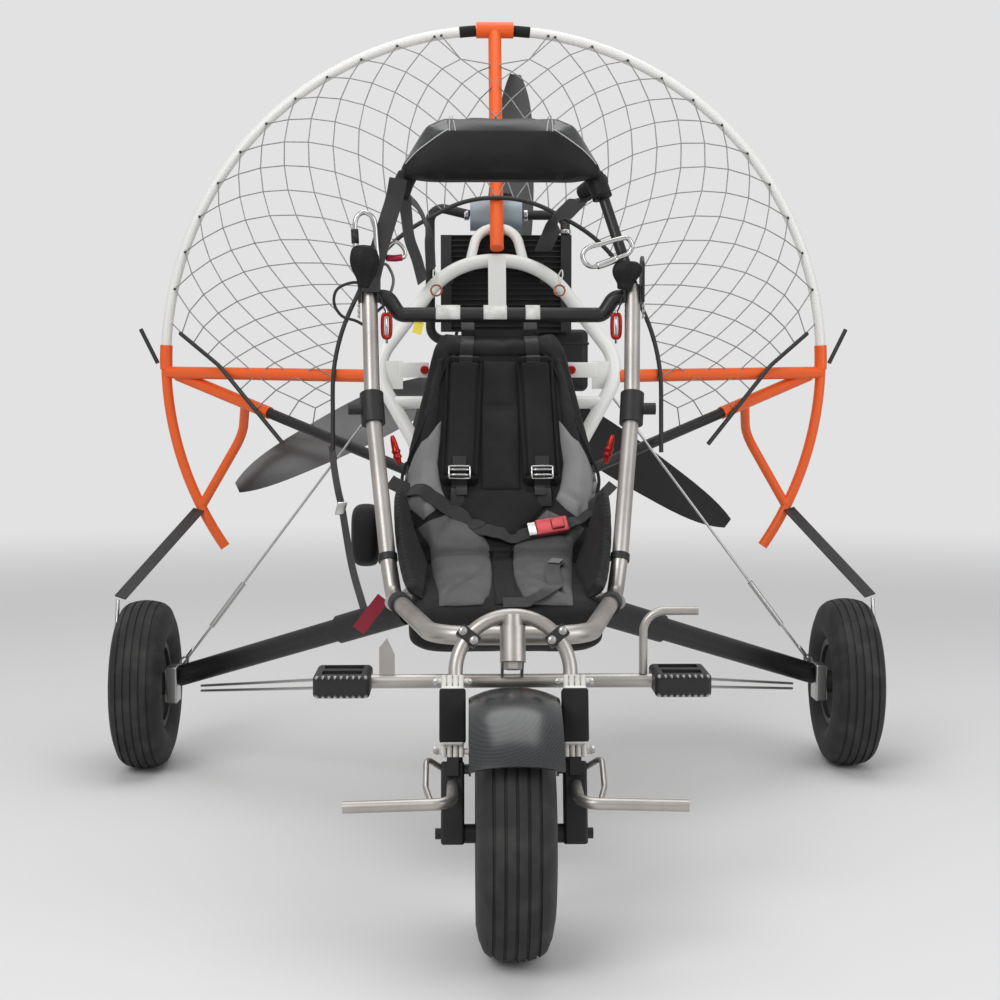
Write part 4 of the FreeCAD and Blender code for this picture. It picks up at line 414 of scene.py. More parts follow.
pan_rings = (
    (-0.272, 0.364, 0.412, 0.148), (-0.267, 0.355, 0.423, 0.159), (-0.252, 0.351, 0.429, 0.163),
    (-0.200, 0.350, 0.433, 0.164), (-0.150, 0.350, 0.435, 0.164), (-0.100, 0.350, 0.437, 0.164),
    (-0.050, 0.350, 0.440, 0.164), (-0.010, 0.352, 0.444, 0.163), (0.004, 0.356, 0.447, 0.162),
    (0.020, 0.408, 0.450, 0.160), (0.070, 0.409, 0.460, 0.156), (0.120, 0.409, 0.456, 0.150),
    (0.160, 0.412, 0.444, 0.144))
case_voxel = 0.0055
case_pressure = 4
case_frames = 20
back_swell = 0.009
pan_swell = 0.006
nylon_black = (0.006, 0.006, 0.007, 1)
nylon_dust = (0.012, 0.012, 0.013, 1)
thread_pitch = 0.0011


def smooth_run(points, steps):
    """Points along one smooth curve through the given ones."""
    spots = [Vector(point) for point in points]
    spots = [spots[0] * 2 - spots[1]] + spots + [spots[-1] * 2 - spots[-2]]
    run = []
    for number in range(1, len(spots) - 2):
        before, start, end, after = spots[number - 1:number + 3]
        for step in range(steps):
            t = step / steps
            run.append(0.5 * (2 * start + (end - before) * t
                              + (2 * before - 5 * start + 4 * end - after) * t * t
                              + (3 * start - before - 3 * end + after) * t ** 3))
    run.append(spots[-2])
    return run


def run_reach(run):
    """How far along the run each of its points lies."""
    reach = [0.0]
    for start, end in zip(run, run[1:]):
        reach.append(reach[-1] + (end - start).length)
    return reach


seat_run = smooth_run([(0, back, up) for back, up in seat_line], 10)
seat_reach = run_reach(seat_run)


def seat_spot(across, along, lift=0.0):
    """A point of the seat's face, the way out from it added as a lift."""
    number = 0
    while number < len(seat_run) - 2 and seat_reach[number + 1] < along:
        number += 1
    start, end = seat_run[number], seat_run[number + 1]
    share = (along - seat_reach[number]) / (seat_reach[number + 1] - seat_reach[number])
    way = (end - start).normalized()
    return start.lerp(end, share) + Vector((across, -way.z * lift, way.y * lift))


def ring_skin(rings):
    """A closed skin through rings of points, with both of its ends filled."""
    count = len(rings[0])
    bpy.ops.object.select_all(action="DESELECT")
    bpy.ops.mesh.primitive_grid_add(x_subdivisions=count, y_subdivisions=len(rings) - 1)
    piece = bpy.context.object
    for number, vertex in enumerate(piece.data.vertices):
        vertex.co = rings[number // (count + 1)][number % (count + 1) % count]
    bpy.ops.object.mode_set(mode="EDIT")
    bpy.ops.mesh.select_all(action="SELECT")
    bpy.ops.mesh.remove_doubles(threshold=0.00001)
    bpy.ops.mesh.select_all(action="DESELECT")
    bpy.ops.mesh.select_non_manifold(extend=False)
    bpy.ops.mesh.edge_face_add()
    bpy.ops.mesh.select_all(action="SELECT")
    bpy.ops.mesh.normals_make_consistent(inside=False)
    bpy.ops.object.mode_set(mode="OBJECT")
    bpy.ops.object.shade_smooth()
    return piece


def soft_corners(count, sharp):
    """Pairs of cosine and sine round a circle, pushed outwards to a rounded-off rectangle."""
    turns = [2 * math.pi * turn / count for turn in range(count)]
    return [tuple(math.copysign(abs(part) ** sharp, part) for part in (math.cos(turn), math.sin(turn)))
            for turn in turns]


def between(table, place):
    """The value at a place, read from rows of a place and its value."""
    for (low, first), (high, second) in zip(table, table[1:]):
        if place <= high:
            share = min(1, max(0, (place - low) / (high - low)))
            return first + (second - first) * share
    return table[-1][1]


def subdivide_once(piece):
    """Smoother faces, one step finer."""
    bpy.context.view_layer.objects.active = piece
    finer = piece.modifiers.new("finer", "SUBSURF")
    finer.levels = 1
    finer.render_levels = 1
    bpy.ops.object.modifier_apply(modifier=finer.name)


def puff(piece, swell):
    """Even faces, then cloth under pressure; no point moves further than the swell."""
    bpy.context.view_layer.objects.active = piece
    even = piece.modifiers.new("even", "REMESH")
    even.mode = "VOXEL"
    even.voxel_size = case_voxel
    bpy.ops.object.modifier_apply(modifier=even.name)
    ironed = piece.modifiers.new("ironed", "SMOOTH")
    ironed.factor = 0.5
    ironed.iterations = 4
    bpy.ops.object.modifier_apply(modifier=ironed.name)
    filling = piece.modifiers.new("filling", "CLOTH")
    filling.settings.use_pressure = True
    filling.settings.uniform_pressure_force = case_pressure
    filling.settings.effector_weights.gravity = 0
    for number in range(1, case_frames + 1):
        bpy.context.scene.frame_set(number)
    filled = piece.evaluated_get(bpy.context.evaluated_depsgraph_get())
    ends = [vertex.co.copy() for vertex in filled.data.vertices]
    piece.modifiers.remove(filling)
    for vertex, end in zip(piece.data.vertices, ends):
        move = end - vertex.co
        vertex.co += move * min(1, swell / max(move.length, 1e-9))
    subdivide_once(piece)
    bpy.ops.object.shade_smooth()


def woven(name, colour, worn, pitch, roughness, depth=0.0003):
    """A cloth with crossed threads at a pitch, a little paler where it is rubbed."""
    finish, tree, shader = new_finish(name, colour, roughness)
    two_tones(tree, shader, place_noise(tree, 13, 5), colour, worn, 0.42, 0.75)
    where = add_node(tree, "ShaderNodeTexCoord", {})
    threads = add_node(tree, "ShaderNodeTexVoronoi",
                       {"Vector": where.outputs["Object"], "Scale": 1 / pitch, "Randomness": 0.25})
    raise_grain(tree, shader, threads.outputs["Distance"], depth, 0.8)
    shader.inputs["Specular IOR Level"].default_value = 0.25
    shader.inputs["Sheen Weight"].default_value = 0.04
    shader.inputs["Sheen Roughness"].default_value = 0.5
    return finish


seat_nylon = woven("seat_nylon", nylon_black, nylon_dust, thread_pitch, 0.62)

back_rings = []
for number in range(back_rows):
    along = back_foot + (back_head - back_foot) * number / (back_rows - 1)
    half = between(back_widths, along)
    closing = min(1.0, back_end_share + min(number, back_rows - 1 - number) * back_end_step)
    ring = []
    for aside, out in soft_corners(case_turns, back_corner):
        lift = -back_depth / 2 + out * back_depth / 2 * closing - back_inset
        lift += back_bolster * abs(aside) ** 3 * (1 if out > 0 else 0.4)
        ring.append(seat_spot(aside * half, along, lift))
    back_rings.append(ring)
back_case = ring_skin(back_rings)
puff(back_case, back_swell)
start_piece("seat_back_case", back_case, seat_nylon)
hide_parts("seat_back")

pan_case = ring_skin([
    [Vector((aside * half, back, (low + high) / 2 + out * (high - low) / 2))
     for aside, out in soft_corners(case_turns, pan_corner)] for back, low, high, half in pan_rings])
puff(pan_case, pan_swell)
start_piece("seat_pan_case", pan_case, seat_nylon)
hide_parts("seat_pan")


# Hip walls: padded black side panels that rise outwards from the pan's edges to the side tubes
# and close the seat at the pilot's hips.
wall_rings = (
    (-0.238, 0.454, 0.150), (-0.200, 0.474, 0.160), (-0.150, 0.502, 0.170), (-0.100, 0.530, 0.177),
    (-0.050, 0.556, 0.182), (0.000, 0.576, 0.184), (0.050, 0.590, 0.185), (0.095, 0.598, 0.184))
wall_foot = 0.134
wall_foot_height = 0.434
wall_thick = 0.017
wall_belly = 0.008
wall_swell = 0.004
wall_turns = 40
wall_corner = 0.5
both_sides = (("left", 1), ("right", -1))

for side_name, side in both_sides:
    wall_loops = []
    for back, top, top_half in wall_rings:
        ring = []
        for rise, out in soft_corners(wall_turns, wall_corner):
            share = (rise + 1) / 2
            belly = wall_belly * math.sin(math.pi * share)
            across = wall_foot + (top_half - wall_foot) * share + belly + out * wall_thick / 2
            ring.append(Vector((side * across, back, wall_foot_height + (top - wall_foot_height) * share)))
        wall_loops.append(ring)
    wall = ring_skin(wall_loops)
    puff(wall, wall_swell)
    start_piece("hip_wall_" + side_name, wall, seat_nylon)
    if side == 1:
        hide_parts("seat_wings")


# Quilted panels: grey spacer mesh over foam, sewn on the cases. Two thigh panels lie either side
# of a black centre strip, each with diagonal seams, and two wings hold the pilot's hips.
thigh_outline = (
    (0.108, 0.033), (0.111, 0.120), (0.121, 0.266), (0.129, 0.377), (0.152, 0.424), (0.138, 0.431),
    (0.112, 0.440), (0.084, 0.456), (0.058, 0.428), (0.033, 0.402), (0.022, 0.377), (0.020, 0.340),
    (0.019, 0.270), (0.022, 0.160), (0.027, 0.070), (0.040, 0.034))
thigh_seams = (((0.084, 0.456), (0.127, 0.370)), ((0.021, 0.336), (0.104, 0.033)))
wing_outline = (
    (0.141, 0.438), (0.166, 0.466), (0.179, 0.512), (0.176, 0.536), (0.160, 0.575), (0.142, 0.606),
    (0.110, 0.640), (0.112, 0.600), (0.117, 0.554), (0.109, 0.500), (0.101, 0.478), (0.120, 0.455))
wing_seams = (((0.105, 0.500), (0.150, 0.462)),)
quilt_pitch = 0.004
quilt_puff = 0.009
quilt_ease = 0.010
quilt_sink = 0.006
quilt_lift = 0.001
quilt_grain = 0.0006
row_margin = 0.001
seam_depth = 0.85
seam_ease = 0.45
wing_puff = quilt_puff * 1.3
probe_rise = 0.08
probe_reach = 0.14
mesh_grey = (0.230, 0.230, 0.232, 1)
thigh_grey = (0.100, 0.100, 0.101, 1)
mesh_pale = (0.300, 0.300, 0.302, 1)
thigh_pale = (0.135, 0.135, 0.136, 1)
mesh_hole = 0.0021
seat_cases = (back_case, pan_case)


def edge_distance(spot, start, end):
    """How far a flat spot lies from a seam between two points."""
    run = end - start
    share = max(0, min(1, (spot - start).dot(run) / max(run.dot(run), 1e-12)))
    return (spot - start - run * share).length


def outline_reach(outline, along):
    """The lowest and highest place across an outline, at one place along it."""
    crossings = []
    for start, end in zip(outline, outline[1:] + outline[:1]):
        if (start[1] - along) * (end[1] - along) <= 0 and start[1] != end[1]:
            share = (along - start[1]) / (end[1] - start[1])
            crossings.append(start[0] + (end[0] - start[0]) * share)
    return (min(crossings), max(crossings)) if crossings else None


def lie_on(cases, spot, way):
    """The outermost place where a line down onto the cases meets them."""
    best = None
    for case in cases:
        found, place = case.ray_cast(spot + way * probe_rise, -way, distance=probe_reach)[:2]
        if found and (best is None or (place - spot).dot(way) > best):
            best = (place - spot).dot(way)
    return best or 0.0


def quilted_panel(name, outline, seams, puffed, finish, side=1, ease=quilt_ease, pitch=quilt_pitch):
    """A puffed panel on the seat's face, pulled down to its edges and along its seams."""
    outline = tuple((across * side, along) for across, along in outline)
    lines = [(Vector(start), Vector(end)) for start, end in zip(outline, outline[1:] + outline[:1])]
    sewn = [(Vector((a[0] * side, a[1])), Vector((b[0] * side, b[1]))) for a, b in seams]
    low = min(along for across, along in outline)
    high = max(along for across, along in outline)
    wide = max(across for across, along in outline) - min(across for across, along in outline)
    rows = max(6, int((high - low) / pitch))
    columns = max(6, int(wide / pitch))
    rings = []
    for row in range(rows + 1):
        along = low + (high - low) * min(1 - row_margin, max(row_margin, row / rows))
        near, far = outline_reach(outline, along)
        top, under = [], []
        for column in range(columns + 1):
            across = near + (far - near) * column / columns
            spot = Vector((across, along))
            gap = min(edge_distance(spot, start, end) for start, end in lines)
            height = 1 - math.exp(-gap / ease)
            for start, end in sewn:
                height *= 1 - seam_depth * math.exp(-edge_distance(spot, start, end) / (ease * seam_ease))
            base = seat_spot(across, along)
            way = (seat_spot(across, along, 1) - base).normalized()
            rest = lie_on(seat_cases, base, way)
            top.append(base + way * (rest + quilt_lift + puffed * height))
            under.append(base + way * (rest - quilt_sink))
        rings.append(top + under[::-1])
    piece = ring_skin(rings)
    start_piece(name, piece, finish)
    return piece


spacer_mesh = woven("spacer_mesh", mesh_grey, mesh_pale, mesh_hole, 0.85, quilt_grain)
thigh_mesh = woven("thigh_mesh", thigh_grey, thigh_pale, mesh_hole, 0.85, quilt_grain)
for side_name, side in both_sides:
    quilted_panel("thigh_panel_" + side_name, thigh_outline, thigh_seams, quilt_puff, thigh_mesh, side)
    quilted_panel("hip_wing_" + side_name, wing_outline, wing_seams, wing_puff, spacer_mesh, side)


# Back panels in black: the headrest, the middle panel behind the shoulder pads and the waist pad,
# each edged by a seam, with a welt down either side of the back.
head_outline = (
    (-0.098, 0.776), (0.098, 0.776), (0.104, 0.800), (0.096, 0.832), (-0.096, 0.832), (-0.104, 0.800))
middle_outline = ((-0.036, 0.500), (0.036, 0.500), (0.036, 0.764), (-0.036, 0.764))
middle_seams = (((-0.036, 0.672), (0.036, 0.672)), ((-0.036, 0.662), (0.036, 0.662)))
waist_outline = (
    (0.000, 0.386), (0.030, 0.398), (0.058, 0.432), (0.082, 0.463), (0.100, 0.486), (0.084, 0.500),
    (-0.084, 0.500), (-0.100, 0.486), (-0.082, 0.463), (-0.058, 0.432), (-0.030, 0.398))
strip_outline = ((-0.018, 0.036), (0.018, 0.036), (0.018, 0.380), (-0.018, 0.380))
side_outline = (
    (0.128, 0.560), (0.150, 0.604), (0.140, 0.660), (0.128, 0.720), (0.116, 0.770), (0.106, 0.770),
    (0.112, 0.700), (0.116, 0.640))
faced_black = (0.011, 0.011, 0.012, 1)
faced_dust = (0.022, 0.022, 0.024, 1)
side_puff = 0.008
welt_radius = 0.0032
welt_lift = 0.001
welt_path = (
    (0.080, 0.786), (0.104, 0.745), (0.122, 0.694), (0.148, 0.622), (0.168, 0.575), (0.182, 0.530),
    (0.176, 0.486), (0.158, 0.430))

faced_nylon = woven("faced_nylon", faced_black, faced_dust, thread_pitch * 1.6, 0.7)
for name, outline, seams, puffed, finish in (
        ("headrest_panel", head_outline, (), 0.010, faced_nylon),
        ("middle_panel", middle_outline, middle_seams, 0.006, faced_nylon),
        ("waist_pad", waist_outline, (), 0.012, seat_nylon),
        ("centre_strip", strip_outline, (), 0.003, seat_nylon)):
    quilted_panel(name, outline, seams, puffed, finish)
for side_name, side in both_sides:
    quilted_panel("side_bolster_" + side_name, side_outline, (), side_puff, faced_nylon, side)


def laid_path(path, cases, lift, steps=8):
    """A smooth path over the seat's face, resting on what lies below it, and the ways out from it."""
    run = smooth_run([(across, along, 0) for across, along in path], steps)
    spots, ways = [], []
    for across, along, level in run:
        base = seat_spot(across, along)
        way = (seat_spot(across, along, 1) - base).normalized()
        spots.append(base + way * (lie_on(cases, base, way) + lift))
        ways.append(way)
    return spots, ways


def thin_rod(name, points, radius, finish, sides=8):
    """A round bar, wire or welt through the points, closed at its ends."""
    rings = []
    side_way = None
    for number, point in enumerate(points):
        run = (points[min(number + 1, len(points) - 1)] - points[max(number - 1, 0)]).normalized()
        if side_way is None:
            side_way = run.orthogonal().normalized()
        side_way = (side_way - run * side_way.dot(run)).normalized()
        up_way = run.cross(side_way)
        turns = [2 * math.pi * turn / sides for turn in range(sides)]
        rings.append([point + (side_way * math.cos(turn) + up_way * math.sin(turn)) * radius
                      for turn in turns])
    piece = ring_skin(rings)
    start_piece(name, piece, finish)
    return piece


for side_name, side in both_sides:
    welt = laid_path([(side * across, along) for across, along in welt_path], seat_cases, welt_lift)[0]
    thin_rod("back_welt_" + side_name, welt, welt_radius, seat_nylon)


# Shoulder pads: two thick padded straps down the front of the back, black neoprene with a stitched
# border. Webbing runs from over the headrest into their tops and out of their feet again.
pad_outline = (
    (0.030, 0.764), (0.040, 0.772), (0.092, 0.772), (0.102, 0.764), (0.107, 0.640), (0.112, 0.520),
    (0.104, 0.508), (0.050, 0.508), (0.040, 0.520), (0.036, 0.640))
pad_seams = (
    ((0.038, 0.756), (0.094, 0.756)), ((0.047, 0.526), (0.104, 0.526)), ((0.038, 0.756), (0.047, 0.526)),
    ((0.094, 0.756), (0.104, 0.526)))
pad_puff = 0.020
pad_ease = 0.004
pad_pitch = 0.003
head_path = ((0.060, 0.836), (0.061, 0.810), (0.063, 0.780), (0.064, 0.752))
over_path = ((0.060, 0.338, 0.868), (0.060, 0.336, 0.890), (0.060, 0.318, 0.903))
over_ways = [Vector(way).normalized() for way in ((0, 1, 0.2), (0, 0.8, 0.6), (0, 0.2, 1))]
foot_path = ((0.076, 0.560), (0.077, 0.530), (0.079, 0.500), (0.080, 0.462))
tail_path = ((0.071, 0.536), (0.072, 0.516), (0.072, 0.478))
head_lift = 0.002
foot_lift = 0.003
tail_lift = 0.006
web_width = 0.025
web_tail_width = web_width * 0.8
web_thick = 0.0018
web_columns = 4
web_black = (0.009, 0.009, 0.010, 1)
web_rubbed = (0.020, 0.020, 0.022, 1)
web_rib = 0.0016
web_sheen = 0.2
rib_scale = 0.314


def webbing(name, points, ways, width, finish, thick=web_thick):
    """A flat strap through the points, its flat side facing the ways; its UV map is in metres."""
    count = len(points)
    bpy.ops.object.select_all(action="DESELECT")
    bpy.ops.mesh.primitive_grid_add(x_subdivisions=web_columns, y_subdivisions=count - 1)
    piece = bpy.context.object
    reach = run_reach(points)
    for number, vertex in enumerate(piece.data.vertices):
        row, column = divmod(number, web_columns + 1)
        run = (points[min(row + 1, count - 1)] - points[max(row - 1, 0)]).normalized()
        aside = run.cross(ways[row]).normalized()
        vertex.co = points[row] + aside * (width * (column / web_columns - 0.5))
    for loop, spot in zip(piece.data.loops, piece.data.uv_layers.active.data):
        row, column = divmod(loop.vertex_index, web_columns + 1)
        spot.uv = (width * column / web_columns, reach[row])
    wall = piece.modifiers.new("wall", "SOLIDIFY")
    wall.thickness = thick
    wall.offset = 0
    bpy.ops.object.modifier_apply(modifier=wall.name)
    bpy.ops.object.mode_set(mode="EDIT")
    bpy.ops.mesh.select_all(action="SELECT")
    bpy.ops.mesh.normals_make_consistent(inside=False)
    bpy.ops.object.mode_set(mode="OBJECT")
    bpy.ops.object.shade_smooth_by_angle(angle=math.radians(40))
    start_piece(name, piece, finish)
    return piece


def ribbed_web(name, colour, rubbed):
    """Woven webbing: fine ribs across it that follow its own length."""
    finish, tree, shader = new_finish(name, colour, 0.66)
    where = add_node(tree, "ShaderNodeTexCoord", {})
    ribs = add_node(tree, "ShaderNodeTexWave",
                    {"Vector": where.outputs["UV"], "Scale": rib_scale / web_rib, "Distortion": 0.6,
                     "Detail Scale": 60}, bands_direction="Y")
    two_tones(tree, shader, ribs.outputs["Fac"], colour, rubbed, 0.3, 0.9)
    raise_grain(tree, shader, ribs.outputs["Fac"], 0.0004, 0.7)
    shader.inputs["Sheen Weight"].default_value = web_sheen
    return finish


black_web = ribbed_web("black_web", web_black, web_rubbed)
pads = [quilted_panel("shoulder_pad_" + side_name, pad_outline, pad_seams, pad_puff, seat_nylon, side,
                      pad_ease, pad_pitch) for side_name, side in both_sides]
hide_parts("shoulder_pads")
face_layers = seat_cases + tuple(pads) + tuple(
    bpy.data.objects[name] for name in ("headrest_panel", "middle_panel", "waist_pad", "thigh_panel_left",
                                        "thigh_panel_right", "hip_wing_left", "hip_wing_right"))
bpy.context.view_layer.update()


def laid_web(name, path, lift, width, finish, thick=web_thick, side=1):
    """Webbing along a path over the seat's face and what lies on it."""
    spots, ways = laid_path([(side * across, along) for across, along in path], face_layers, lift)
    webbing(name, spots, ways, width, finish, thick)


def mirrored(spots, side):
    """Points given for the left, for the left or the right."""
    return [Vector((side * spot[0], *spot[1:])) for spot in spots]


for side_name, side in both_sides:
    spots, ways = laid_path([(side * across, along) for across, along in head_path], face_layers, head_lift)
    spots = mirrored(over_path, side) + spots
    webbing("head_web_" + side_name, spots, over_ways + ways, web_width, black_web)
    laid_web("foot_web_" + side_name, foot_path, foot_lift, web_width, black_web, side=side)
    laid_web("foot_tail_" + side_name, tail_path, tail_lift, web_tail_width, black_web, side=side)


# Head guard: a padded box over the frame's top corner, sewn from black leather-cloth. A matt
# front panel hangs from a crease, a glossier top panel slopes back, and carbon-look facets close
# the ends. Pairs of pale piped seams part the panels; a zip sleeve lets the bars run through it.
# A pale rod along the lower edge of each facet is a painted highlight of that edge.
guard_top = (
    (0, 1.267), (0.050, 1.267), (0.104, 1.263), (0.136, 1.249), (0.158, 1.214), (0.176, 1.184),
    (0.182, 1.172))
guard_crease = ((0, 1.232), (0.097, 1.231), (0.160, 1.190), (0.176, 1.177), (0.182, 1.168))
guard_base = ((0, 1.153), (0.170, 1.152), (0.179, 1.156), (0.182, 1.162))
guard_front = ((0, 0.105), (0.100, 0.105), (0.150, 0.110), (0.176, 0.122), (0.182, 0.132))
guard_back = ((0, 0.195), (0.130, 0.195), (0.165, 0.186), (0.176, 0.176), (0.182, 0.166))
guard_half = 0.182
guard_rows = 53
guard_turns = 56
guard_swell = 0.005
guard_seams = (0.082, 0.093)
guard_facet = 0.097
crease_gap = 0.002
seam_lean = 0.006
seam_top = 1.232
seam_drop = 0.035
seam_line = ((0.180, 1.262), (0.165, 1.267), (0.145, 1.265), (0.130, 1.252), (0.118, 1.243), (0.108, 1.233))
# The painted highlight is a pale rod laid along the lower edge of each carbon-look facet; its depth, path and
# radius are set below.
edge_highlight_back = 0.118
edge_highlight_line = ((0.093, 1.233), (0.110, 1.223), (0.130, 1.210), (0.150, 1.197), (0.166, 1.185), (0.174, 1.179))
seam_and_highlight_lift = 0.0006
seam_radius = 0.0011
edge_highlight_radius = 0.0012
guard_matt = (0.006, 0.006, 0.006, 1)
guard_matt_dust = (0.011, 0.011, 0.011, 1)
guard_gloss = (0.022, 0.022, 0.023, 1)
# The pale colour is the seams' piping and also the painted highlight along each facet's lower edge.
piping_and_highlight_pale = (0.42, 0.42, 0.41, 1)

guard_cloth = woven("guard_cloth", guard_matt, guard_matt_dust, 0.0022, 0.55)
guard_hide = new_finish("guard_hide", guard_gloss, 0.36, gloss=(16, 4, 0.28, 0.46),
                        grain=(420, 5, 0.0004, 0.6))[0]
piping = new_finish("piping", piping_and_highlight_pale, 0.5, grain=(900, 2, 0.0003, 0.6))[0]


def even_loop(corners, count):
    """Points at even steps round a closed outline."""
    loop = [Vector(corner) for corner in corners] + [Vector(corners[0])]
    reach = run_reach(loop)
    spots = []
    for number in range(count):
        along = reach[-1] * number / count
        leg = max(place for place in range(len(corners)) if reach[place] <= along + 1e-9)
        share = (along - reach[leg]) / max(reach[leg + 1] - reach[leg], 1e-9)
        spots.append(loop[leg].lerp(loop[leg + 1], share))
    return spots


guard_rings = []
for number in range(guard_rows):
    across = 2 * guard_half * number / (guard_rows - 1) - guard_half
    reach = abs(across)
    top, crease, base = between(guard_top, reach), between(guard_crease, reach), between(guard_base, reach)
    front, back = between(guard_front, reach), between(guard_back, reach)
    deep, tall = back - front, top - base
    corners = (
        (front + 0.004, base), (front, base + 0.3 * (crease - base)), (front + 0.002, crease),
        (front + 0.45 * deep, top - 0.002), (front + 0.62 * deep, top),
        (back - 0.004, base + 0.72 * tall), (back, base + 0.35 * tall), (back - 0.006, base))
    guard_rings.append(even_loop([(across, *corner) for corner in corners], guard_turns))
guard_pad = ring_skin(guard_rings)
puff(guard_pad, guard_swell)
start_piece("head_guard_pad", guard_pad, guard_cloth)
guard_pad.data.materials.append(guard_hide)
guard_pad.data.materials.append(carbon_lacquer)
for face in guard_pad.data.polygons:
    across, back, up = face.center
    if up > between(guard_crease, abs(across)) + crease_gap:
        face.material_index = 2 if abs(across) > guard_facet else 1
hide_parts("head_guard")


def on_guard(spot, way):
    """Where a line onto the guard meets it, raised a little for the piped seams and the painted edge
    highlight.
    """
    found, place = guard_pad.ray_cast(spot + way * probe_rise, -way, distance=2 * probe_rise)[:2]
    return (place if found else spot) + way * seam_and_highlight_lift


bpy.context.view_layer.update()
for side_name, side in both_sides:
    for number, across in enumerate(guard_seams):
        lean = seam_lean * (1 - number)
        spots = [on_guard(Vector((side * (across + lean * (up - seam_top) / seam_drop), back, up)),
                          Vector((0, -0.72, 0.70))) for back, up in seam_line]
        seam = smooth_run(spots, 5)
        thin_rod(f"guard_seam_{side_name}_{number}", seam, seam_radius, piping, 6)
    # A pale rod along the facet's lower edge: a painted highlight of that edge.
    way = Vector((side * 0.2, -0.85, 0.48)).normalized()
    spots = [on_guard(Vector((side * across, edge_highlight_back, up)), way) for across, up in edge_highlight_line]
    thin_rod("guard_piping_" + side_name, smooth_run(spots, 6), edge_highlight_radius, piping, 6)


# Net rods and straps: the glass-fibre rods that spread the net are matt black, and so are the tie
# straps that run down to the axles.
rod_black = (0.016, 0.017, 0.017, 1)

rod_finish = new_finish("rod_finish", rod_black, 0.5, gloss=(60, 4, 0.40, 0.62))[0]
for node in ("net_arch", "net_battens", "tie_straps"):
    wear_finish(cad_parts[node], rod_finish)


# Net: pale braided cord knotted into diamonds. It hangs on small black hooks in the front of the
# guard ring, is laced to the net rod round the engine, and ends on the battens at both sides. The
# knots are found as a taut net's are, each one pulled evenly by the knots it is tied to.
ring_radius = 0.7145
ring_height = 0.822
ring_plane = 0.740
hook_first = 10.5
hook_step = 6.65
hook_count = 11
extra_hook = 9.3
net_rows = 9
net_cord = 0.0013
hook_radius = 0.0030
hook_inset = 0.004
hook_ahead = 0.0112
last_hook_tie = 0.1
net_settle = 240
net_pulls = (2.4, 1.9, 1.5, 1.25, 1.05, 0.95, 0.90, 0.90, 0.90)
net_grey = (0.34, 0.34, 0.33, 1)
net_dull = (0.20, 0.20, 0.195, 1)
hook_black = (0.015, 0.015, 0.015, 1)
arch_line = (
    (0, 0.541, 1.155), (0.057, 0.539, 1.143), (0.118, 0.534, 1.115), (0.267, 0.507, 0.969),
    (0.294, 0.497, 0.918), (0.313, 0.488, 0.867), (0.327, 0.476, 0.806), (0.332, 0.448, 0.651))
arch_near, arch_far, arch_bend = 0.037, 0.040, 7.5
batten_tip = (0.6788, 0.742, 0.8896)
batten_ties = {
    (1, 23): (0.6389, 0.710, 0.8707), (2, 24): (0.6003, 0.680, 0.8440), (3, 25): (0.5589, 0.650, 0.8208),
    (4, 26): (0.5183, 0.620, 0.7787), (5, 27): (0.4777, 0.600, 0.7435), (6, 28): (0.4306, 0.560, 0.7123),
    (7, 29): (0.3804, 0.530, 0.6908)}
row_ends = {1: 21, 2: 22, 3: 23, 4: 24, 5: 25, 6: 26, 7: 27, 8: 28}
mast_foot, mast_head, mast_half = (0.500, 1.070), (0.736, 1.513), 0.0175

net_braid, tree, shader = new_finish("net_braid", net_grey, 0.7)
two_tones(tree, shader, place_noise(tree, 300, 3), net_dull, net_grey)
hook_plastic = new_finish("hook_plastic", hook_black, 0.45)[0]
arch_run = smooth_run(arch_line, 12)
arch_reach = run_reach(arch_run)


def node_skin(node, spot):
    """The nearest place on a CAD piece's skin."""
    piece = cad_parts[node]
    return piece.matrix_world @ piece.closest_point_on_mesh(piece.matrix_world.inverted() @ Vector(spot))[1]


def arch_place(number):
    """A place on the net rod, counted in net meshes from the ring's top hook."""
    along = arch_near * (min(number, arch_bend) + 1.5) + arch_far * max(0, number - arch_bend)
    leg = max(place for place in range(len(arch_run) - 1) if arch_reach[place] <= along)
    share = (along - arch_reach[leg]) / (arch_reach[leg + 1] - arch_reach[leg])
    return node_skin("net_arch", arch_run[leg].lerp(arch_run[leg + 1], share))


def ring_place(degrees, inset=hook_inset, ahead=hook_ahead):
    """A place on the front of the guard ring."""
    turn = math.radians(degrees)
    reach = ring_radius - inset
    return Vector((reach * math.sin(turn), ring_plane - ahead, ring_height + reach * math.cos(turn)))


fixed, knots = {}, {}
for number in range(hook_count):
    fixed[(0, 2 * number)] = ring_place(hook_first + hook_step * number)
fixed[(0, 22)] = node_skin("net_battens", batten_tip)
for twice in range(-1, 28, 2):
    fixed[(net_rows, twice)] = arch_place(twice / 2)
fixed[(net_rows, -3)] = Vector((0, arch_place(-1.5).y, arch_place(-1.5).z))
for place, spot in batten_ties.items():
    fixed[place] = node_skin("net_battens" if place[0] < 6 else "ring_struts", spot)
for row, end in row_ends.items():
    for twice in range(-3 + (row + 1) % 2, end + 1, 2):
        hook = ring_place(hook_first + hook_step * twice / 2)
        knots[(row, twice)] = hook.lerp(arch_place(twice / 2), row / net_rows)
knots.update(fixed)


def knot_spot(row, twice):
    """A knot's place; those beyond the middle are the mirror of the near side's."""
    if twice >= -3:
        return knots.get((row, twice))
    other = knots.get((row, -6 - twice))
    return None if other is None else Vector((-other.x, other.y, other.z))


def tied_to(row, twice):
    """The knots that one is tied to."""
    ends = [(row - 1, twice - 1), (row - 1, twice + 1), (row + 1, twice - 1), (row + 1, twice + 1)]
    if row == 1 and twice <= -1:
        ends += [(1, twice - 2), (1, twice + 2)] if twice == -3 else [(1, twice - 2)]
    return [end for end in ends if knot_spot(*end) is not None]


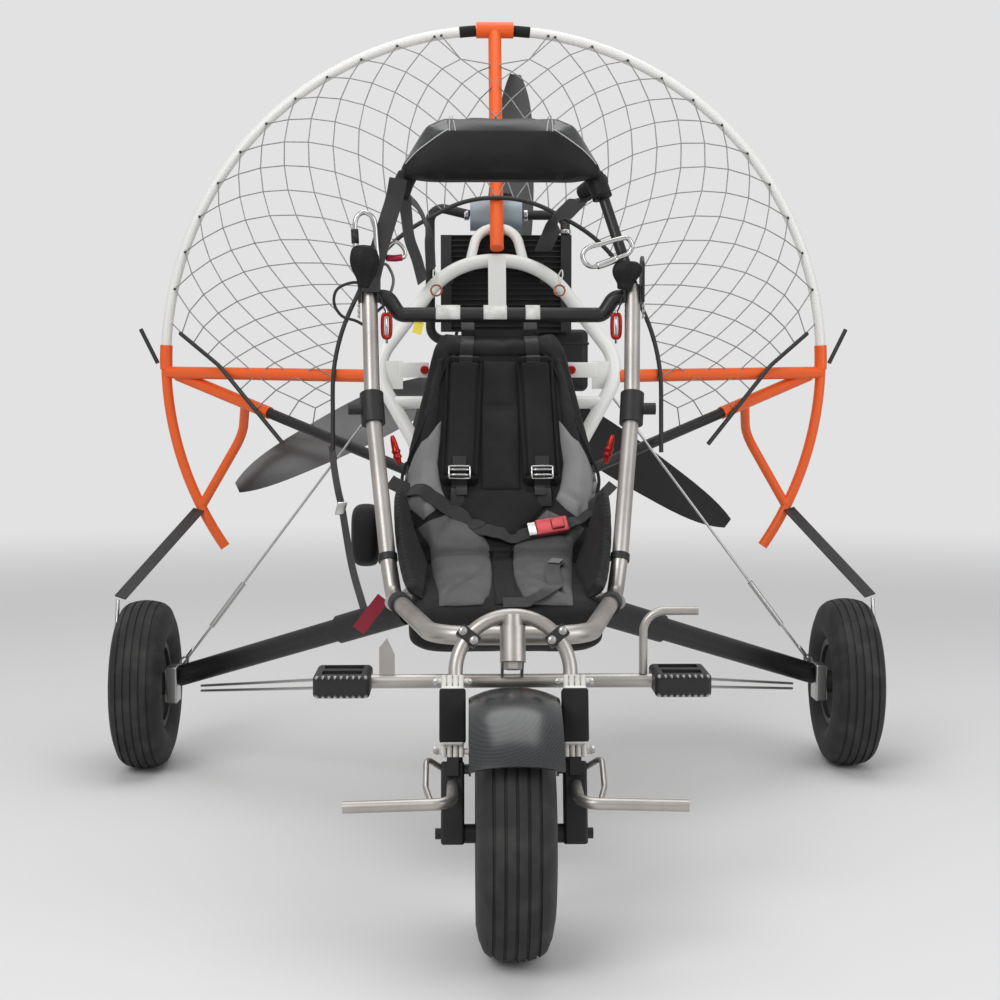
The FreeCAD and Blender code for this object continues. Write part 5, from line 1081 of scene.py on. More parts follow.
for turn in range(net_settle):
    for row, twice in sorted(set(knots) - set(fixed)):
        ends = tied_to(row, twice)
        pulls = [net_pulls[min(row, end[0])] for end in ends]
        mean = sum((knot_spot(*end) * pull for end, pull in zip(ends, pulls)), Vector()) / sum(pulls)
        if twice == -3:
            share = (mean.z - mast_foot[1]) / (mast_head[1] - mast_foot[1])
            mast_front = mast_foot[0] + share * (mast_head[0] - mast_foot[0]) - mast_half
            mean = Vector((0, min(mean.y, mast_front), mean.z))
        knots[(row, twice)] = mean
cords = []
for row, twice in sorted(knots):
    for end in ((row + 1, twice - 1), (row + 1, twice + 1)):
        if knot_spot(*end) is not None and not ((row, twice) in batten_ties and end in fixed):
            cords.append((knots[(row, twice)], knot_spot(*end)))
cords += [(knots[(1, -1)], knots[(1, -3)]), (knots[(1, -1)], ring_place(extra_hook)),
          (knots[(0, 22)], ring_place(hook_first + hook_step * (hook_count - last_hook_tie), 0.009, 0.006))]


def wire_mesh(name, legs, radius, detail, closed=False):
    """Round wire along each of the legs, made into a mesh; a closed leg has no ends."""
    wire = bpy.data.curves.new(name, "CURVE")
    wire.dimensions = "3D"
    wire.bevel_depth = radius
    wire.bevel_resolution = detail
    wire.use_fill_caps = not closed
    for run in legs:
        leg = wire.splines.new("POLY")
        leg.points.add(len(run) - 1)
        for point, spot in zip(leg.points, run):
            point.co = (*spot, 1)
        leg.use_cyclic_u = closed
    piece = bpy.data.objects.new(name, wire)
    bpy.context.scene.collection.objects.link(piece)
    bpy.ops.object.select_all(action="DESELECT")
    piece.select_set(True)
    bpy.context.view_layer.objects.active = piece
    bpy.ops.object.convert(target="MESH")
    return piece


def joined(parts):
    """One piece made of several."""
    bpy.ops.object.select_all(action="DESELECT")
    for part in parts:
        part.select_set(True)
    bpy.context.view_layer.objects.active = parts[0]
    bpy.ops.object.join()
    bpy.ops.object.transform_apply(location=True, rotation=True, scale=True)
    return parts[0]


for side_name, side in both_sides:
    legs = [[(side * spot.x, spot.y, spot.z) for spot in cord] for cord in cords]
    net = wire_mesh("net_" + side_name, legs, net_cord, 1)
    start_piece("net_cords_" + side_name, net, net_braid)
    hooks = []
    for degrees in [extra_hook] + [hook_first + hook_step * number for number in range(hook_count)]:
        spot = ring_place(degrees)
        bpy.ops.mesh.primitive_uv_sphere_add(segments=12, ring_count=8, radius=hook_radius,
                                             location=(side * spot.x, spot.y, spot.z))
        hooks.append(bpy.context.object)
    hooks = joined(hooks)
    bpy.ops.object.shade_smooth()
    start_piece("net_hooks_" + side_name, hooks, hook_plastic)


# Hang straps: flat black webbing. On the right-hand bar it hides the bar from the guard's corner
# down to its hang plate; from both corners a second strap runs back and down to the engine hoop,
# and on the left that one wears a cloth sleeve. Cloth cuffs close the guard round the bars.
cuff_radius = 0.0185
cuff_line = ((0.171, 0.160, 1.158), (0.178, 0.153, 1.142), (0.186, 0.147, 1.118))
sleeve_radius = 0.0165
sleeve_line = ((0.183, 0.162, 1.151), (0.172, 0.190, 1.145), (0.158, 0.222, 1.136))
hang_straps = (
    ("front", 0.032, (0, -0.97, 0.24),
     ((-0.186, 0.128, 1.150), (-0.193, 0.126, 1.114), (-0.206, 0.108, 1.068), (-0.222, 0.092, 1.012),
      (-0.233, 0.081, 0.965), (-0.2345, 0.077, 0.944))),
    ("back_right", 0.024, (0.3, -0.9, 0.3),
     ((-0.180, 0.170, 1.150), (-0.169, 0.220, 1.127), (-0.155, 0.290, 1.115), (-0.144, 0.360, 1.097),
      (-0.137, 0.420, 1.074), (-0.134, 0.492, 1.010))),
    ("low_right", 0.024, (0.2, -0.97, 0.1),
     ((-0.178, 0.165, 1.140), (-0.175, 0.240, 1.096), (-0.172, 0.330, 1.058), (-0.160, 0.410, 1.023),
      (-0.151, 0.484, 0.985))),
    ("back_left", 0.036, (0.2, -0.94, 0.3),
     ((0.182, 0.165, 1.150), (0.156, 0.220, 1.130), (0.140, 0.300, 1.118), (0.125, 0.390, 1.105),
      (0.110, 0.450, 1.085), (0.095, 0.522, 1.050))))

for side_name, side in both_sides:
    cuff = smooth_run(mirrored(cuff_line, side), 4)
    thin_rod("bar_cuff_" + side_name, cuff, cuff_radius, guard_cloth, 20)
for name, width, way, path in hang_straps:
    line = smooth_run(path, 6)
    webbing("hang_strap_" + name, line, [Vector(way)] * len(line), width, black_web)
thin_rod("strap_sleeve_left", smooth_run(sleeve_line, 6), sleeve_radius, guard_cloth, 18)


# Carabiners: bent from polished aluminium bar. The two on the hang plates are closed by screw
# gates; a smaller one with a crimson gate sleeve hangs on the right-hand strap.
polish_grey = (0.62, 0.62, 0.61, 1)
gate_crimson = (0.42, 0.018, 0.060, 1)
shackle_red = (0.40, 0.016, 0.012, 1)
carabiner_bar = 0.0045
crimson_bar = 0.0037
right_gate_radius = 0.0068
left_gate_radius = 0.0066
crimson_gate_radius = 0.0062
right_bow = (
    (-0.230, 0.086, 0.985), (-0.250, 0.084, 0.996), (-0.261, 0.083, 1.020), (-0.262, 0.083, 1.053),
    (-0.261, 0.083, 1.070), (-0.256, 0.084, 1.080), (-0.247, 0.085, 1.085), (-0.238, 0.086, 1.083),
    (-0.229, 0.087, 1.074), (-0.226, 0.088, 1.060), (-0.224, 0.089, 1.030), (-0.222, 0.088, 1.000))
right_gate = ((-0.2612, 0.083, 1.030), (-0.2625, 0.083, 1.055))
crimson_bow = (
    (-0.208, 0.126, 1.007), (-0.206, 0.126, 1.026), (-0.192, 0.126, 1.036), (-0.181, 0.126, 1.030),
    (-0.174, 0.126, 1.018), (-0.178, 0.126, 1.008))
crimson_gate = ((-0.208, 0.126, 1.0075), (-0.193, 0.126, 1.0068), (-0.179, 0.126, 1.0085))
left_bow = (
    (0.225, 0.080, 1.040), (0.205, 0.080, 1.037), (0.180, 0.079, 1.030), (0.160, 0.079, 1.025),
    (0.149, 0.079, 1.018), (0.145, 0.079, 1.008), (0.149, 0.079, 0.997), (0.159, 0.079, 0.990),
    (0.174, 0.079, 0.990), (0.190, 0.079, 0.997), (0.207, 0.080, 1.004), (0.226, 0.081, 1.012),
    (0.234, 0.081, 1.026))
left_gate = ((0.171, 0.079, 0.990), (0.189, 0.079, 0.996), (0.208, 0.080, 1.004))

polished = new_finish("polished", polish_grey, 0.2, 1.0, gloss=(90, 4, 0.14, 0.34))[0]
crimson = new_finish("crimson", gate_crimson, 0.3, 0.5, gloss=(120, 3, 0.22, 0.38))[0]
red_anodised = new_finish("red_anodised", shackle_red, 0.28, 0.7, gloss=(120, 3, 0.2, 0.36))[0]


def bar_loop(name, points, radius, finish, closed=True, steps=6):
    """A bar bent through the points; a closed one has no ends."""
    spots = [Vector(point) for point in points]
    if closed:
        run = smooth_run([spots[-1]] + spots + [spots[0], spots[1]], steps)[steps:-steps - 1]
    else:
        run = smooth_run(spots, steps)
    piece = wire_mesh(name, [run], radius, 3, closed)
    bpy.ops.object.shade_smooth_by_angle(angle=math.radians(50))
    start_piece(name, piece, finish)
    return piece


bar_loop("carabiner_right", right_bow, carabiner_bar, polished)
thin_rod("carabiner_gate_right", [Vector(spot) for spot in right_gate], right_gate_radius, black_moulding,
         16)
bar_loop("carabiner_crimson", crimson_bow, crimson_bar, polished)
thin_rod("carabiner_crimson_gate", smooth_run(crimson_gate, 5), crimson_gate_radius, crimson, 16)
bar_loop("carabiner_left", left_bow, carabiner_bar, polished)
thin_rod("carabiner_gate_left", smooth_run(left_gate, 5), left_gate_radius, polished, 16)


# Hang sleeves: gathered black cloth bags that cover the webbing loops between the carabiners and
# the hang plates, tied in at the foot.
sleeve_rows = 11
sleeve_turns = 30
sleeve_pleats = 7
sleeve_foot = 0.948
sleeve_back = 0.084
sleeve_places = (("left", 0.226, 1.000), ("right", -0.247, 1.028))

for side_name, middle, tall in sleeve_places:
    rings = []
    for row in range(sleeve_rows):
        share = row / (sleeve_rows - 1)
        swell = 0.012 + 0.011 * math.sin(math.pi * min(1, share * 1.15 + 0.12))
        swell *= 0.9 if row in (0, sleeve_rows - 1) else 1
        centre = middle - math.copysign(0.004 * share, middle)
        ring = []
        for turn in range(sleeve_turns):
            angle = 2 * math.pi * turn / sleeve_turns
            reach = swell * (1 + 0.10 * math.sin(angle * sleeve_pleats + row * 0.5) * (0.4 + share))
            ring.append(Vector((centre + math.cos(angle) * 1.15 * reach,
                                sleeve_back + math.sin(angle) * 0.75 * reach,
                                tall + (sleeve_foot - tall) * share)))
        rings.append(ring)
    sleeve = ring_skin(rings)
    subdivide_once(sleeve)
    start_piece("hang_sleeve_" + side_name, sleeve, guard_cloth)


# Shackles and plate bolts: long red-anodised shackles hang inside each hang plate, and the plates
# are clamped to the tubes by three stacked nuts on each face.
shackle_half = 0.0065
shackle_top = 0.904
shackle_foot = 0.862
shackle_across = 0.206
shackle_back = 0.080
shackle_bar = 0.0036
screw_radius = 0.0022
cord_radius = 0.0016
plate_nut_levels = (0.902, 0.911, 0.921)
plate_nut_faces = ((0.2565, 1), (0.2250, -1))
plate_nut_back = 0.094
plate_nut = (0.0042, 0.0035)


def hex_nut(name, centre, axis, radius, depth, body="chassis"):
    """A bevelled hexagon nut on a washer, with the bolt's end showing in it."""
    centre, axis = Vector(centre), Vector(axis)
    turn = axis.to_track_quat("Z", "Y").to_euler()
    bpy.ops.mesh.primitive_cylinder_add(vertices=6, radius=radius, depth=depth, location=centre,
                                        rotation=turn)
    parts = [bpy.context.object]
    bpy.ops.object.transform_apply(location=True, rotation=True, scale=True)
    bpy.ops.object.mode_set(mode="EDIT")
    bpy.ops.mesh.select_all(action="SELECT")
    bpy.ops.mesh.bevel(offset=radius * 0.1, segments=2)
    bpy.ops.object.mode_set(mode="OBJECT")
    for sides, wide, tall, level in ((24, 1.3, 0.3, -0.5), (16, 0.5, 0.5, 0.5)):
        bpy.ops.mesh.primitive_cylinder_add(vertices=sides, radius=radius * wide, depth=depth * tall,
                                            location=centre + axis * depth * level, rotation=turn)
        parts.append(bpy.context.object)
    nut = joined(parts)
    bpy.ops.object.shade_smooth_by_angle(angle=math.radians(30))
    start_piece(name, nut, bolt_steel, body)


for side_name, side in both_sides:
    middle = side * shackle_across
    bow = [(middle + aside * shackle_half, shackle_back, up) for aside, up in
           ((-1, shackle_foot + 0.006), (0, shackle_foot), (1, shackle_foot + 0.006),
            (1, shackle_top - 0.004), (0, shackle_top), (-1, shackle_top - 0.004))]
    bar_loop("shackle_" + side_name, bow, shackle_bar, red_anodised)
    screw = [Vector((middle, shackle_back, up)) for up in (shackle_foot - 0.010, shackle_top + 0.008)]
    thin_rod("shackle_screw_" + side_name, screw, screw_radius, polished, 12)
    cord = ((middle, shackle_back, shackle_top + 0.002), (middle + side * 0.006, 0.081, 0.918),
            (side * 0.216, 0.084, 0.932), (side * 0.223, 0.090, 0.944))
    bar_loop("shackle_cord_" + side_name, cord, cord_radius, rod_finish, closed=False)
    for level in plate_nut_levels:
        for face, way in plate_nut_faces:
            name = f"plate_nut_{side_name}_{level:.3f}_{way}".replace("-", "in").replace("0.", "z")
            hex_nut(name, (side * face, plate_nut_back, level), (side * way, 0, 0), *plate_nut)


# Lap belt: black webbing across the hips, closed at the middle by a rose-anodised cast buckle. Its
# ends run down past the back's sides to the frame, and a loose leg strap lies over the pan.
belt_width = 0.027
tail_width = 0.020
tag_width = 0.021
tag_thick = 0.0012
belt_right_lift = 0.005
belt_left_lift = 0.006
leg_lift = 0.003
tag_lift = 0.0065
belt_right = (
    (-0.205, 0.520), (-0.192, 0.512), (-0.138, 0.484), (-0.049, 0.424), (-0.034, 0.408), (0.012, 0.392),
    (0.046, 0.394), (0.070, 0.398))
belt_left = ((0.108, 0.410), (0.128, 0.421), (0.184, 0.484), (0.208, 0.512))
leg_path = (
    (0.100, 0.312), (0.093, 0.298), (0.087, 0.270), (0.083, 0.180), (0.082, 0.100), (0.070, 0.060),
    (0.043, 0.044), (-0.005, 0.042))
tag_path = ((0.099, 0.318), (0.094, 0.305), (0.090, 0.292))
buckle_path = ((0.060, 0.400), (0.090, 0.404), (0.122, 0.412))
buckle_lift = 0.010
buckle_size = (0.060, 0.036, 0.010)
catch_size = (0.024, 0.024, 0.008)
catch_out = 0.005
catch_along = 0.010
tongue_size = (0.022, 0.030, 0.004)
tongue_along = -0.033
buckle_rose = (0.50, 0.075, 0.085, 1)
tag_grey = (0.20, 0.20, 0.20, 1)

rose_metal = new_finish("rose_metal", buckle_rose, 0.3, 0.65, gloss=(70, 4, 0.22, 0.42))[0]
tag_cloth = new_finish("tag_cloth", tag_grey, 0.7, grain=(1200, 2, 0.0002, 0.6))[0]


def bevelled_block(name, centre, size, axes, edge, finish, body="chassis"):
    """A block along three axes with rounded edges."""
    bpy.ops.object.select_all(action="DESELECT")
    bpy.ops.mesh.primitive_cube_add(size=1)
    block = bpy.context.object
    for vertex in block.data.vertices:
        steps = (axis * part * whole for axis, part, whole in zip(axes, vertex.co, size))
        vertex.co = sum(steps, Vector(centre))
    bpy.ops.object.mode_set(mode="EDIT")
    bpy.ops.mesh.select_all(action="SELECT")
    bpy.ops.mesh.normals_make_consistent(inside=False)
    bpy.ops.mesh.bevel(offset=edge, segments=3)
    bpy.ops.object.mode_set(mode="OBJECT")
    bpy.ops.object.shade_smooth_by_angle(angle=math.radians(40))
    start_piece(name, block, finish, body)


laid_web("lap_belt_right", belt_right, belt_right_lift, belt_width, black_web)
laid_web("lap_belt_left", belt_left, belt_left_lift, tail_width, black_web)
spots, ways = laid_path(buckle_path, face_layers, buckle_lift)
long_way = (spots[-1] - spots[0]).normalized()
out_way = ways[len(ways) // 2]
buckle_axes = (long_way, out_way.cross(long_way).normalized(), out_way)
buckle_spot = (spots[0] + spots[-1]) / 2
bevelled_block("belt_buckle", buckle_spot, buckle_size, buckle_axes, 0.0035, rose_metal)
bevelled_block("belt_buckle_catch", buckle_spot + out_way * catch_out + long_way * catch_along, catch_size,
               buckle_axes, 0.0025, rose_metal)
bevelled_block("belt_buckle_tongue", buckle_spot + long_way * tongue_along, tongue_size, buckle_axes, 0.0012,
               polished)
laid_web("leg_strap", leg_path, leg_lift, web_width, black_web)
laid_web("strap_tag", tag_path, tag_lift, tag_width, tag_cloth, tag_thick)


# Rail tag: a yellow cloth tag hangs from the right-hand side of the spreader bar.
rail_tag_path = ((-0.148, 0.104, 0.891), (-0.150, 0.101, 0.881), (-0.153, 0.099, 0.870))
rail_tag_way = (0.2, -0.98, 0)
rail_tag_width = 0.017
rail_tag_thick = 0.001
tag_yellow = (0.75, 0.62, 0.06, 1)

yellow_cloth = new_finish("yellow_cloth", tag_yellow, 0.6, grain=(1200, 2, 0.0002, 0.6))[0]
webbing("rail_tag", [Vector(spot) for spot in rail_tag_path], [Vector(rail_tag_way)] * len(rail_tag_path),
        rail_tag_width, yellow_cloth, rail_tag_thick)


# Pad buckles: a silver ladder buckle at each shoulder pad's foot, a rounded frame with two bars.
pad_buckle_across = 0.076
buckle_half = 0.019
buckle_edge = 0.016
buckle_bar = 0.0023
buckle_frame_bar = buckle_bar * 0.8
pad_buckle_lift = 0.008
buckle_bars = ((0.531, 0.019), (0.519, 0.017))
buckle_frame = ((-buckle_edge, 0.537), (buckle_edge, 0.537), (buckle_half, 0.534), (buckle_half, 0.516),
                (buckle_edge, 0.513), (-buckle_edge, 0.513), (-buckle_half, 0.516), (-buckle_half, 0.534))

for side_name, side in both_sides:
    middle = side * pad_buckle_across
    for level, half in buckle_bars:
        path = [(middle + across, level) for across in (-half, 0, half)]
        spots = laid_path(path, face_layers, pad_buckle_lift, 2)[0]
        name = f"pad_buckle_bar_{side_name}_{level:.3f}".replace("0.", "")
        thin_rod(name, spots, buckle_bar, polished, 10)
    path = [(middle + across, level) for across, level in buckle_frame]
    spots = laid_path(path, face_layers, pad_buckle_lift, 1)[0]
    bar_loop("pad_buckle_" + side_name, spots, buckle_frame_bar, polished, steps=2)


# Fork dressing: each rubber spring pack wears a black neoprene sleeve with its white cords bare at
# both ends, and its pins are closed by nuts. Two screws close each clamp on the fork's bow.
fork_rake = math.radians(16)
front_axle = Vector((0, -0.700, 0.170))
sleeve_wrap = 0.0022
sleeve_share = 0.66
body_share = 0.36
pin_inset = 0.012
pin_nut = (0.0052, 0.004)
clamp_screw = (0.0046, 0.004)
clamp_places = ((0.28, 0.30), (0.72, 0.70))
sleeve_black = (0.010, 0.010, 0.011, 1)
sleeve_dust = (0.020, 0.020, 0.021, 1)
cord_white = (0.74, 0.73, 0.70, 1)
cord_shade = (0.62, 0.61, 0.57, 1)

neoprene = woven("neoprene", sleeve_black, sleeve_dust, 0.0014, 0.75)
bungee_cord, tree, shader = new_finish("bungee_cord", cord_white, 0.6)
raise_grain(tree, shader, place_noise(tree, 700, 2, (1, 1, 0.4)), 0.0004, 0.7)
two_tones(tree, shader, place_noise(tree, 50, 4), cord_shade, cord_white)
wear_finish(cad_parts["bungee_packs"], bungee_cord)
rake = Matrix.Translation(front_axle) @ Matrix.Rotation(-fork_rake, 4, "X")
rake_axes = [(rake.to_3x3() @ Vector(way)).normalized() for way in ((1, 0, 0), (0, 1, 0), (0, 0, 1))]


def node_spots(node):
    """The vertices of a CAD piece."""
    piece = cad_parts[node]
    return [piece.matrix_world @ vertex.co for vertex in piece.data.vertices]


def raked_spots(node, side):
    """The vertices of a fork piece's one side, measured in the fork's own raked frame."""
    spots = [rake.inverted() @ spot for spot in node_spots(node)]
    return [spot for spot in spots if spot.x * side > 0]


def spread(spots):
    """The lowest and highest corner of some points."""
    return [Vector([pick(spot[axis] for spot in spots) for axis in range(3)]) for pick in (min, max)]


for side_name, side in both_sides:
    pack = raked_spots("bungee_packs", side)
    pack_low, pack_high = spread(pack)
    tall = pack_high.z - pack_low.z
    middle = (pack_low.z + pack_high.z) / 2
    body_low, body_high = spread([spot for spot in pack if abs(spot.z - middle) < body_share * tall])
    size = body_high - body_low
    sleeve_size = (size.x + 2 * sleeve_wrap, size.y + 2 * sleeve_wrap, sleeve_share * tall)
    bevelled_block("spring_sleeve_" + side_name, rake @ ((body_low + body_high) / 2), sleeve_size, rake_axes,
                   0.004, neoprene, "steering")
    for end, level in (("low", pack_low.z + pin_inset), ("high", pack_high.z - pin_inset)):
        pin_low, pin_high = spread([spot for spot in pack if abs(spot.z - level) < pin_inset])
        pin_back, pin_up = (pin_low.y + pin_high.y) / 2, (pin_low.z + pin_high.z) / 2
        for edge, across, way in (("inner", pin_low.x if side > 0 else pin_high.x, -side),
                                  ("outer", pin_high.x if side > 0 else pin_low.x, side)):
            spot = rake @ Vector((across + way * 0.001, pin_back, pin_up))
            hex_nut(f"pin_nut_{side_name}_{end}_{edge}", spot, (way, 0, 0), *pin_nut, "steering")
    clamp_low, clamp_high = spread(raked_spots("stop_clamps", side))
    for number, (share, rise) in enumerate(clamp_places):
        across = clamp_low.x + (clamp_high.x - clamp_low.x) * (share if side > 0 else 1 - share)
        up = clamp_low.z + (clamp_high.z - clamp_low.z) * rise
        hex_nut(f"clamp_screw_{side_name}_{number}", rake @ Vector((across, clamp_low.y - 0.0015, up)),
                -rake_axes[1], *clamp_screw, "steering")


# Pedal teeth: steel points stand along the front of each footrest, top and bottom.
tooth_count = 9
tooth_long = 0.0055
tooth_root = 0.0032
tooth_tip = 0.0010
tooth_inset = 0.006
tooth_edge = 0.004
rest_inner = 0.10

for side_name, side in both_sides:
    rest_low, rest_high = spread([spot for spot in node_spots("footrests") if spot.x * side > rest_inner])
    teeth = []
    for edge in (rest_low.z + tooth_edge, rest_high.z - tooth_edge):
        for number in range(tooth_count):
            run = rest_high.x - rest_low.x - 2 * tooth_inset
            across = rest_low.x + tooth_inset + run * number / (tooth_count - 1)
            bpy.ops.mesh.primitive_cone_add(
                vertices=8, radius1=tooth_root, radius2=tooth_tip, depth=tooth_long,
                location=(across, rest_low.y - tooth_long * 0.3, edge), rotation=(math.pi / 2, 0, 0))
            teeth.append(bpy.context.object)
    start_piece("pedal_teeth_" + side_name, joined(teeth), bolt_steel)


# Spreader bar dressing: three bands of white tape hold the foam on the bar over the headrest.
tape_radius = 0.0152
tape_axis = (0.106, 0.9066)
tape_bands = (("right", -0.118, -0.074), ("middle", -0.032, 0.010), ("left", 0.044, 0.070))
tape_steps = 6
tape_white = (0.70, 0.70, 0.68, 1)
tape_shade = (0.50, 0.50, 0.48, 1)

white_tape, tree, shader = new_finish("white_tape", tape_white, 0.5)
raise_grain(tree, shader, place_noise(tree, 240, 4, (3, 1, 1)), 0.0004, 0.6)
two_tones(tree, shader, place_noise(tree, 60, 4), tape_shade, tape_white, 0.3, 0.6)


def even_steps(start, end, count):
    """Values at even steps from the start to the end."""
    return [start + (end - start) * number / count for number in range(count + 1)]


for name, start, end in tape_bands:
    band = [Vector((across, *tape_axis)) for across in even_steps(start, end, tape_steps)]
    thin_rod("bar_tape_" + name, band, tape_radius, white_tape, 28)


# Guard ring tape: black cloth tape round the ring on both sides of the mast's orange sleeve.
ring_tape_radius = 0.0119
ring_tape_turn = (3.25, 6.1)
ring_tape_steps = 8

for side_name, side in both_sides:
    turns = [math.radians(turn) for turn in even_steps(*ring_tape_turn, ring_tape_steps)]
    arc = [Vector((side * ring_radius * math.sin(turn), ring_plane,
                   ring_height + ring_radius * math.cos(turn))) for turn in turns]
    thin_rod("ring_tape_" + side_name, arc, ring_tape_radius, neoprene, 24)


# Wire guides: a copper ring hangs in a cord loop on either side of the hoop, for the throttle and
# ignition leads. A grey brake hose and a black lead leave the right-hand side tube in short loops.
guide_spot = (0.122, 0.400, 0.963)
guide_radius = 0.0105
guide_wire = 0.0021
guide_cord = ((0.122, 0.398, 0.975), (0.128, 0.400, 0.992), (0.127, 0.412, 1.004), (0.121, 0.412, 0.993))
guide_cord_radius = 0.0014
lead_radius = 0.0028
grey_path = (
    (-0.238, 0.112, 0.985), (-0.212, 0.120, 0.996), (-0.201, 0.120, 0.986), (-0.195, 0.120, 0.967),
    (-0.200, 0.120, 0.945), (-0.211, 0.120, 0.924), (-0.230, 0.113, 0.905))
throttle_path = (
    (-0.236, 0.112, 0.958), (-0.268, 0.108, 0.962), (-0.296, 0.110, 0.950), (-0.302, 0.112, 0.925),
    (-0.288, 0.112, 0.902), (-0.262, 0.112, 0.893), (-0.240, 0.112, 0.880))
copper_brown = (0.42, 0.17, 0.08, 1)
hose_grey = (0.16, 0.16, 0.16, 1)

copper = new_finish("copper", copper_brown, 0.32, 0.9, gloss=(120, 4, 0.24, 0.45))[0]
lead_grey = new_finish("lead_grey", hose_grey, 0.5, gloss=(90, 3, 0.4, 0.6))[0]


def ring_of_eight(centre, first, second):
    """Eight points round a ring, from its centre and its two arms."""
    return [centre + first * math.cos(math.pi * number / 4) + second * math.sin(math.pi * number / 4)
            for number in range(8)]


for side_name, side in both_sides:
    centre, *loop = mirrored((guide_spot, *guide_cord), side)
    guide = ring_of_eight(centre, Vector((guide_radius, 0, 0)), Vector((0, 0, guide_radius)))
    bar_loop("lead_guide_" + side_name, guide, guide_wire, copper, steps=4)
    bar_loop("guide_cord_" + side_name, loop, guide_cord_radius, bungee_cord, steps=5)
thin_rod("grey_lead", smooth_run(grey_path, 6), lead_radius, lead_grey, 10)
thin_rod("throttle_lead", smooth_run(throttle_path, 6), lead_radius, hose_rubber, 10)


# Hoop side lugs: a white plate reaches in from the hoop on either side behind the seat, closed at
# its tip by a crimson anodised bolt.
lug_size = (0.058, 0.004, 0.030)
lug_spot = (0.166, 0.386, 0.806)
lug_bolt_spot = (0.145, 0.384, 0.806)
lug_bolt_profile = ((0.0, 0.0), (0.0, 0.0085), (0.005, 0.0085), (0.0065, 0.0068), (0.0065, 0.0))
straight_axes = (Vector((1, 0, 0)), Vector((0, 1, 0)), Vector((0, 0, 1)))

for side_name, side in both_sides:
    plate, tip = mirrored((lug_spot, lug_bolt_spot), side)
    bevelled_block("hoop_lug_" + side_name, plate, lug_size, straight_axes, 0.0012, white_coat)
    bolt = turned_piece(lug_bolt_profile, tip, 24, (0, -1, 0))
    start_piece("lug_bolt_" + side_name, bolt, red_anodised)


# Stay fittings: each of the two steep stays ends at the rear knuckle in a steel thimble and a
# pressed sleeve.
ferrule_radius = 0.0042
ferrule_reach = (0.018, 0.044)
eye_radius = 0.0072
eye_reach = 0.009
eye_wire = 0.0022
stay_inner = 0.10
stay_tip = 0.002
stay_head = 0.003


def middle_of(spots):
    """The mean of some points."""
    return sum(spots, Vector()) / len(spots)


for side_name, side in both_sides:
    ends = [spot for spot in node_spots("cable_stays") if spot.x * side > stay_inner]
    outer = max(spot.x * side for spot in ends)
    high = max(spot.z for spot in ends)
    foot = middle_of([spot for spot in ends if spot.x * side > outer - stay_tip])
    head = middle_of([spot for spot in ends if spot.z > high - stay_head])
    rise = (head - foot).normalized()
    ferrule = [foot + rise * step for step in even_steps(*ferrule_reach, 4)]
    thin_rod("stay_ferrule_" + side_name, ferrule, ferrule_radius, bolt_steel, 16)
    aside = rise.cross(Vector((0, 1, 0))).normalized()
    eye = ring_of_eight(foot + rise * eye_reach, rise * 1.5 * eye_radius, aside * eye_radius)
    bar_loop("stay_thimble_" + side_name, eye, eye_wire, bolt_steel, steps=4)


# Seat frame fittings: a black rubber collar lies round the seat loop in front of each rear bend, and a
# crimson swivel hangs inside each side tube below its clamp.
collar_radius = 0.0185
collar_start = (0.186, -0.140, 0.422)
collar_way = (-0.172, -0.985, 0.0)
collar_reach = (0.064, 0.104)
collar_steps = 6
swivel_high = (0.194, 0.004, 0.690)
swivel_low = (0.182, 0.004, 0.641)
swivel_profile = (
    (0.0, 0.0), (0.0, 0.0030), (0.004, 0.0045), (0.014, 0.0060), (0.024, 0.0066), (0.026, 0.0082),
    (0.029, 0.0082), (0.031, 0.0066), (0.034, 0.0066), (0.036, 0.0080), (0.039, 0.0080), (0.041, 0.0060),
    (0.048, 0.0050), (0.052, 0.0036), (0.052, 0.0))

for side_name, side in both_sides:
    corner, way, high, low = mirrored((collar_start, collar_way, swivel_high, swivel_low), side)
    collar = [corner + way.normalized() * step for step in even_steps(*collar_reach, collar_steps)]
    thin_rod("loop_collar_" + side_name, collar, collar_radius, hose_rubber, 32)
    swivel = turned_piece(swivel_profile, high, 24, (low - high).normalized())
    start_piece("side_swivel_" + side_name, swivel, red_anodised)


# Right-hand straps: a black web with a silver cam buckle runs from behind the seat down to the swing
# arm's root, where a crimson pull strap is sewn. A small black nylon pouch hangs on the side tube.
pull_path = (
    (-0.254, -0.010, 0.347), (-0.240, -0.013, 0.366), (-0.226, -0.013, 0.384), (-0.210, -0.008, 0.404))
pull_width = 0.024
brace_path = (
    (-0.336, 0.470, 0.655), (-0.326, 0.400, 0.612), (-0.314, 0.340, 0.570), (-0.304, 0.310, 0.535),
    (-0.279, 0.200, 0.439), (-0.249, 0.070, 0.374))
brace_width = 0.014
cam_spot = (-0.306, 0.306, 0.538)
cam_size = (0.019, 0.009, 0.026)
cam_axes = (Vector((1, 0, 0)), Vector((0, 1, 0)), Vector((0.25, 0, 1)).normalized())
pouch_rows = (
    (-0.010, 0.014, 0.478, 0.548), (-0.004, 0.021, 0.466, 0.560), (0.020, 0.025, 0.458, 0.566),
    (0.060, 0.025, 0.452, 0.566), (0.096, 0.021, 0.456, 0.560), (0.104, 0.014, 0.468, 0.548))
pouch_middle = -0.243
pouch_turns = 32
pouch_swell = 0.005
strap_crimson = (0.36, 0.010, 0.038, 1)
strap_dark = (0.22, 0.006, 0.022, 1)

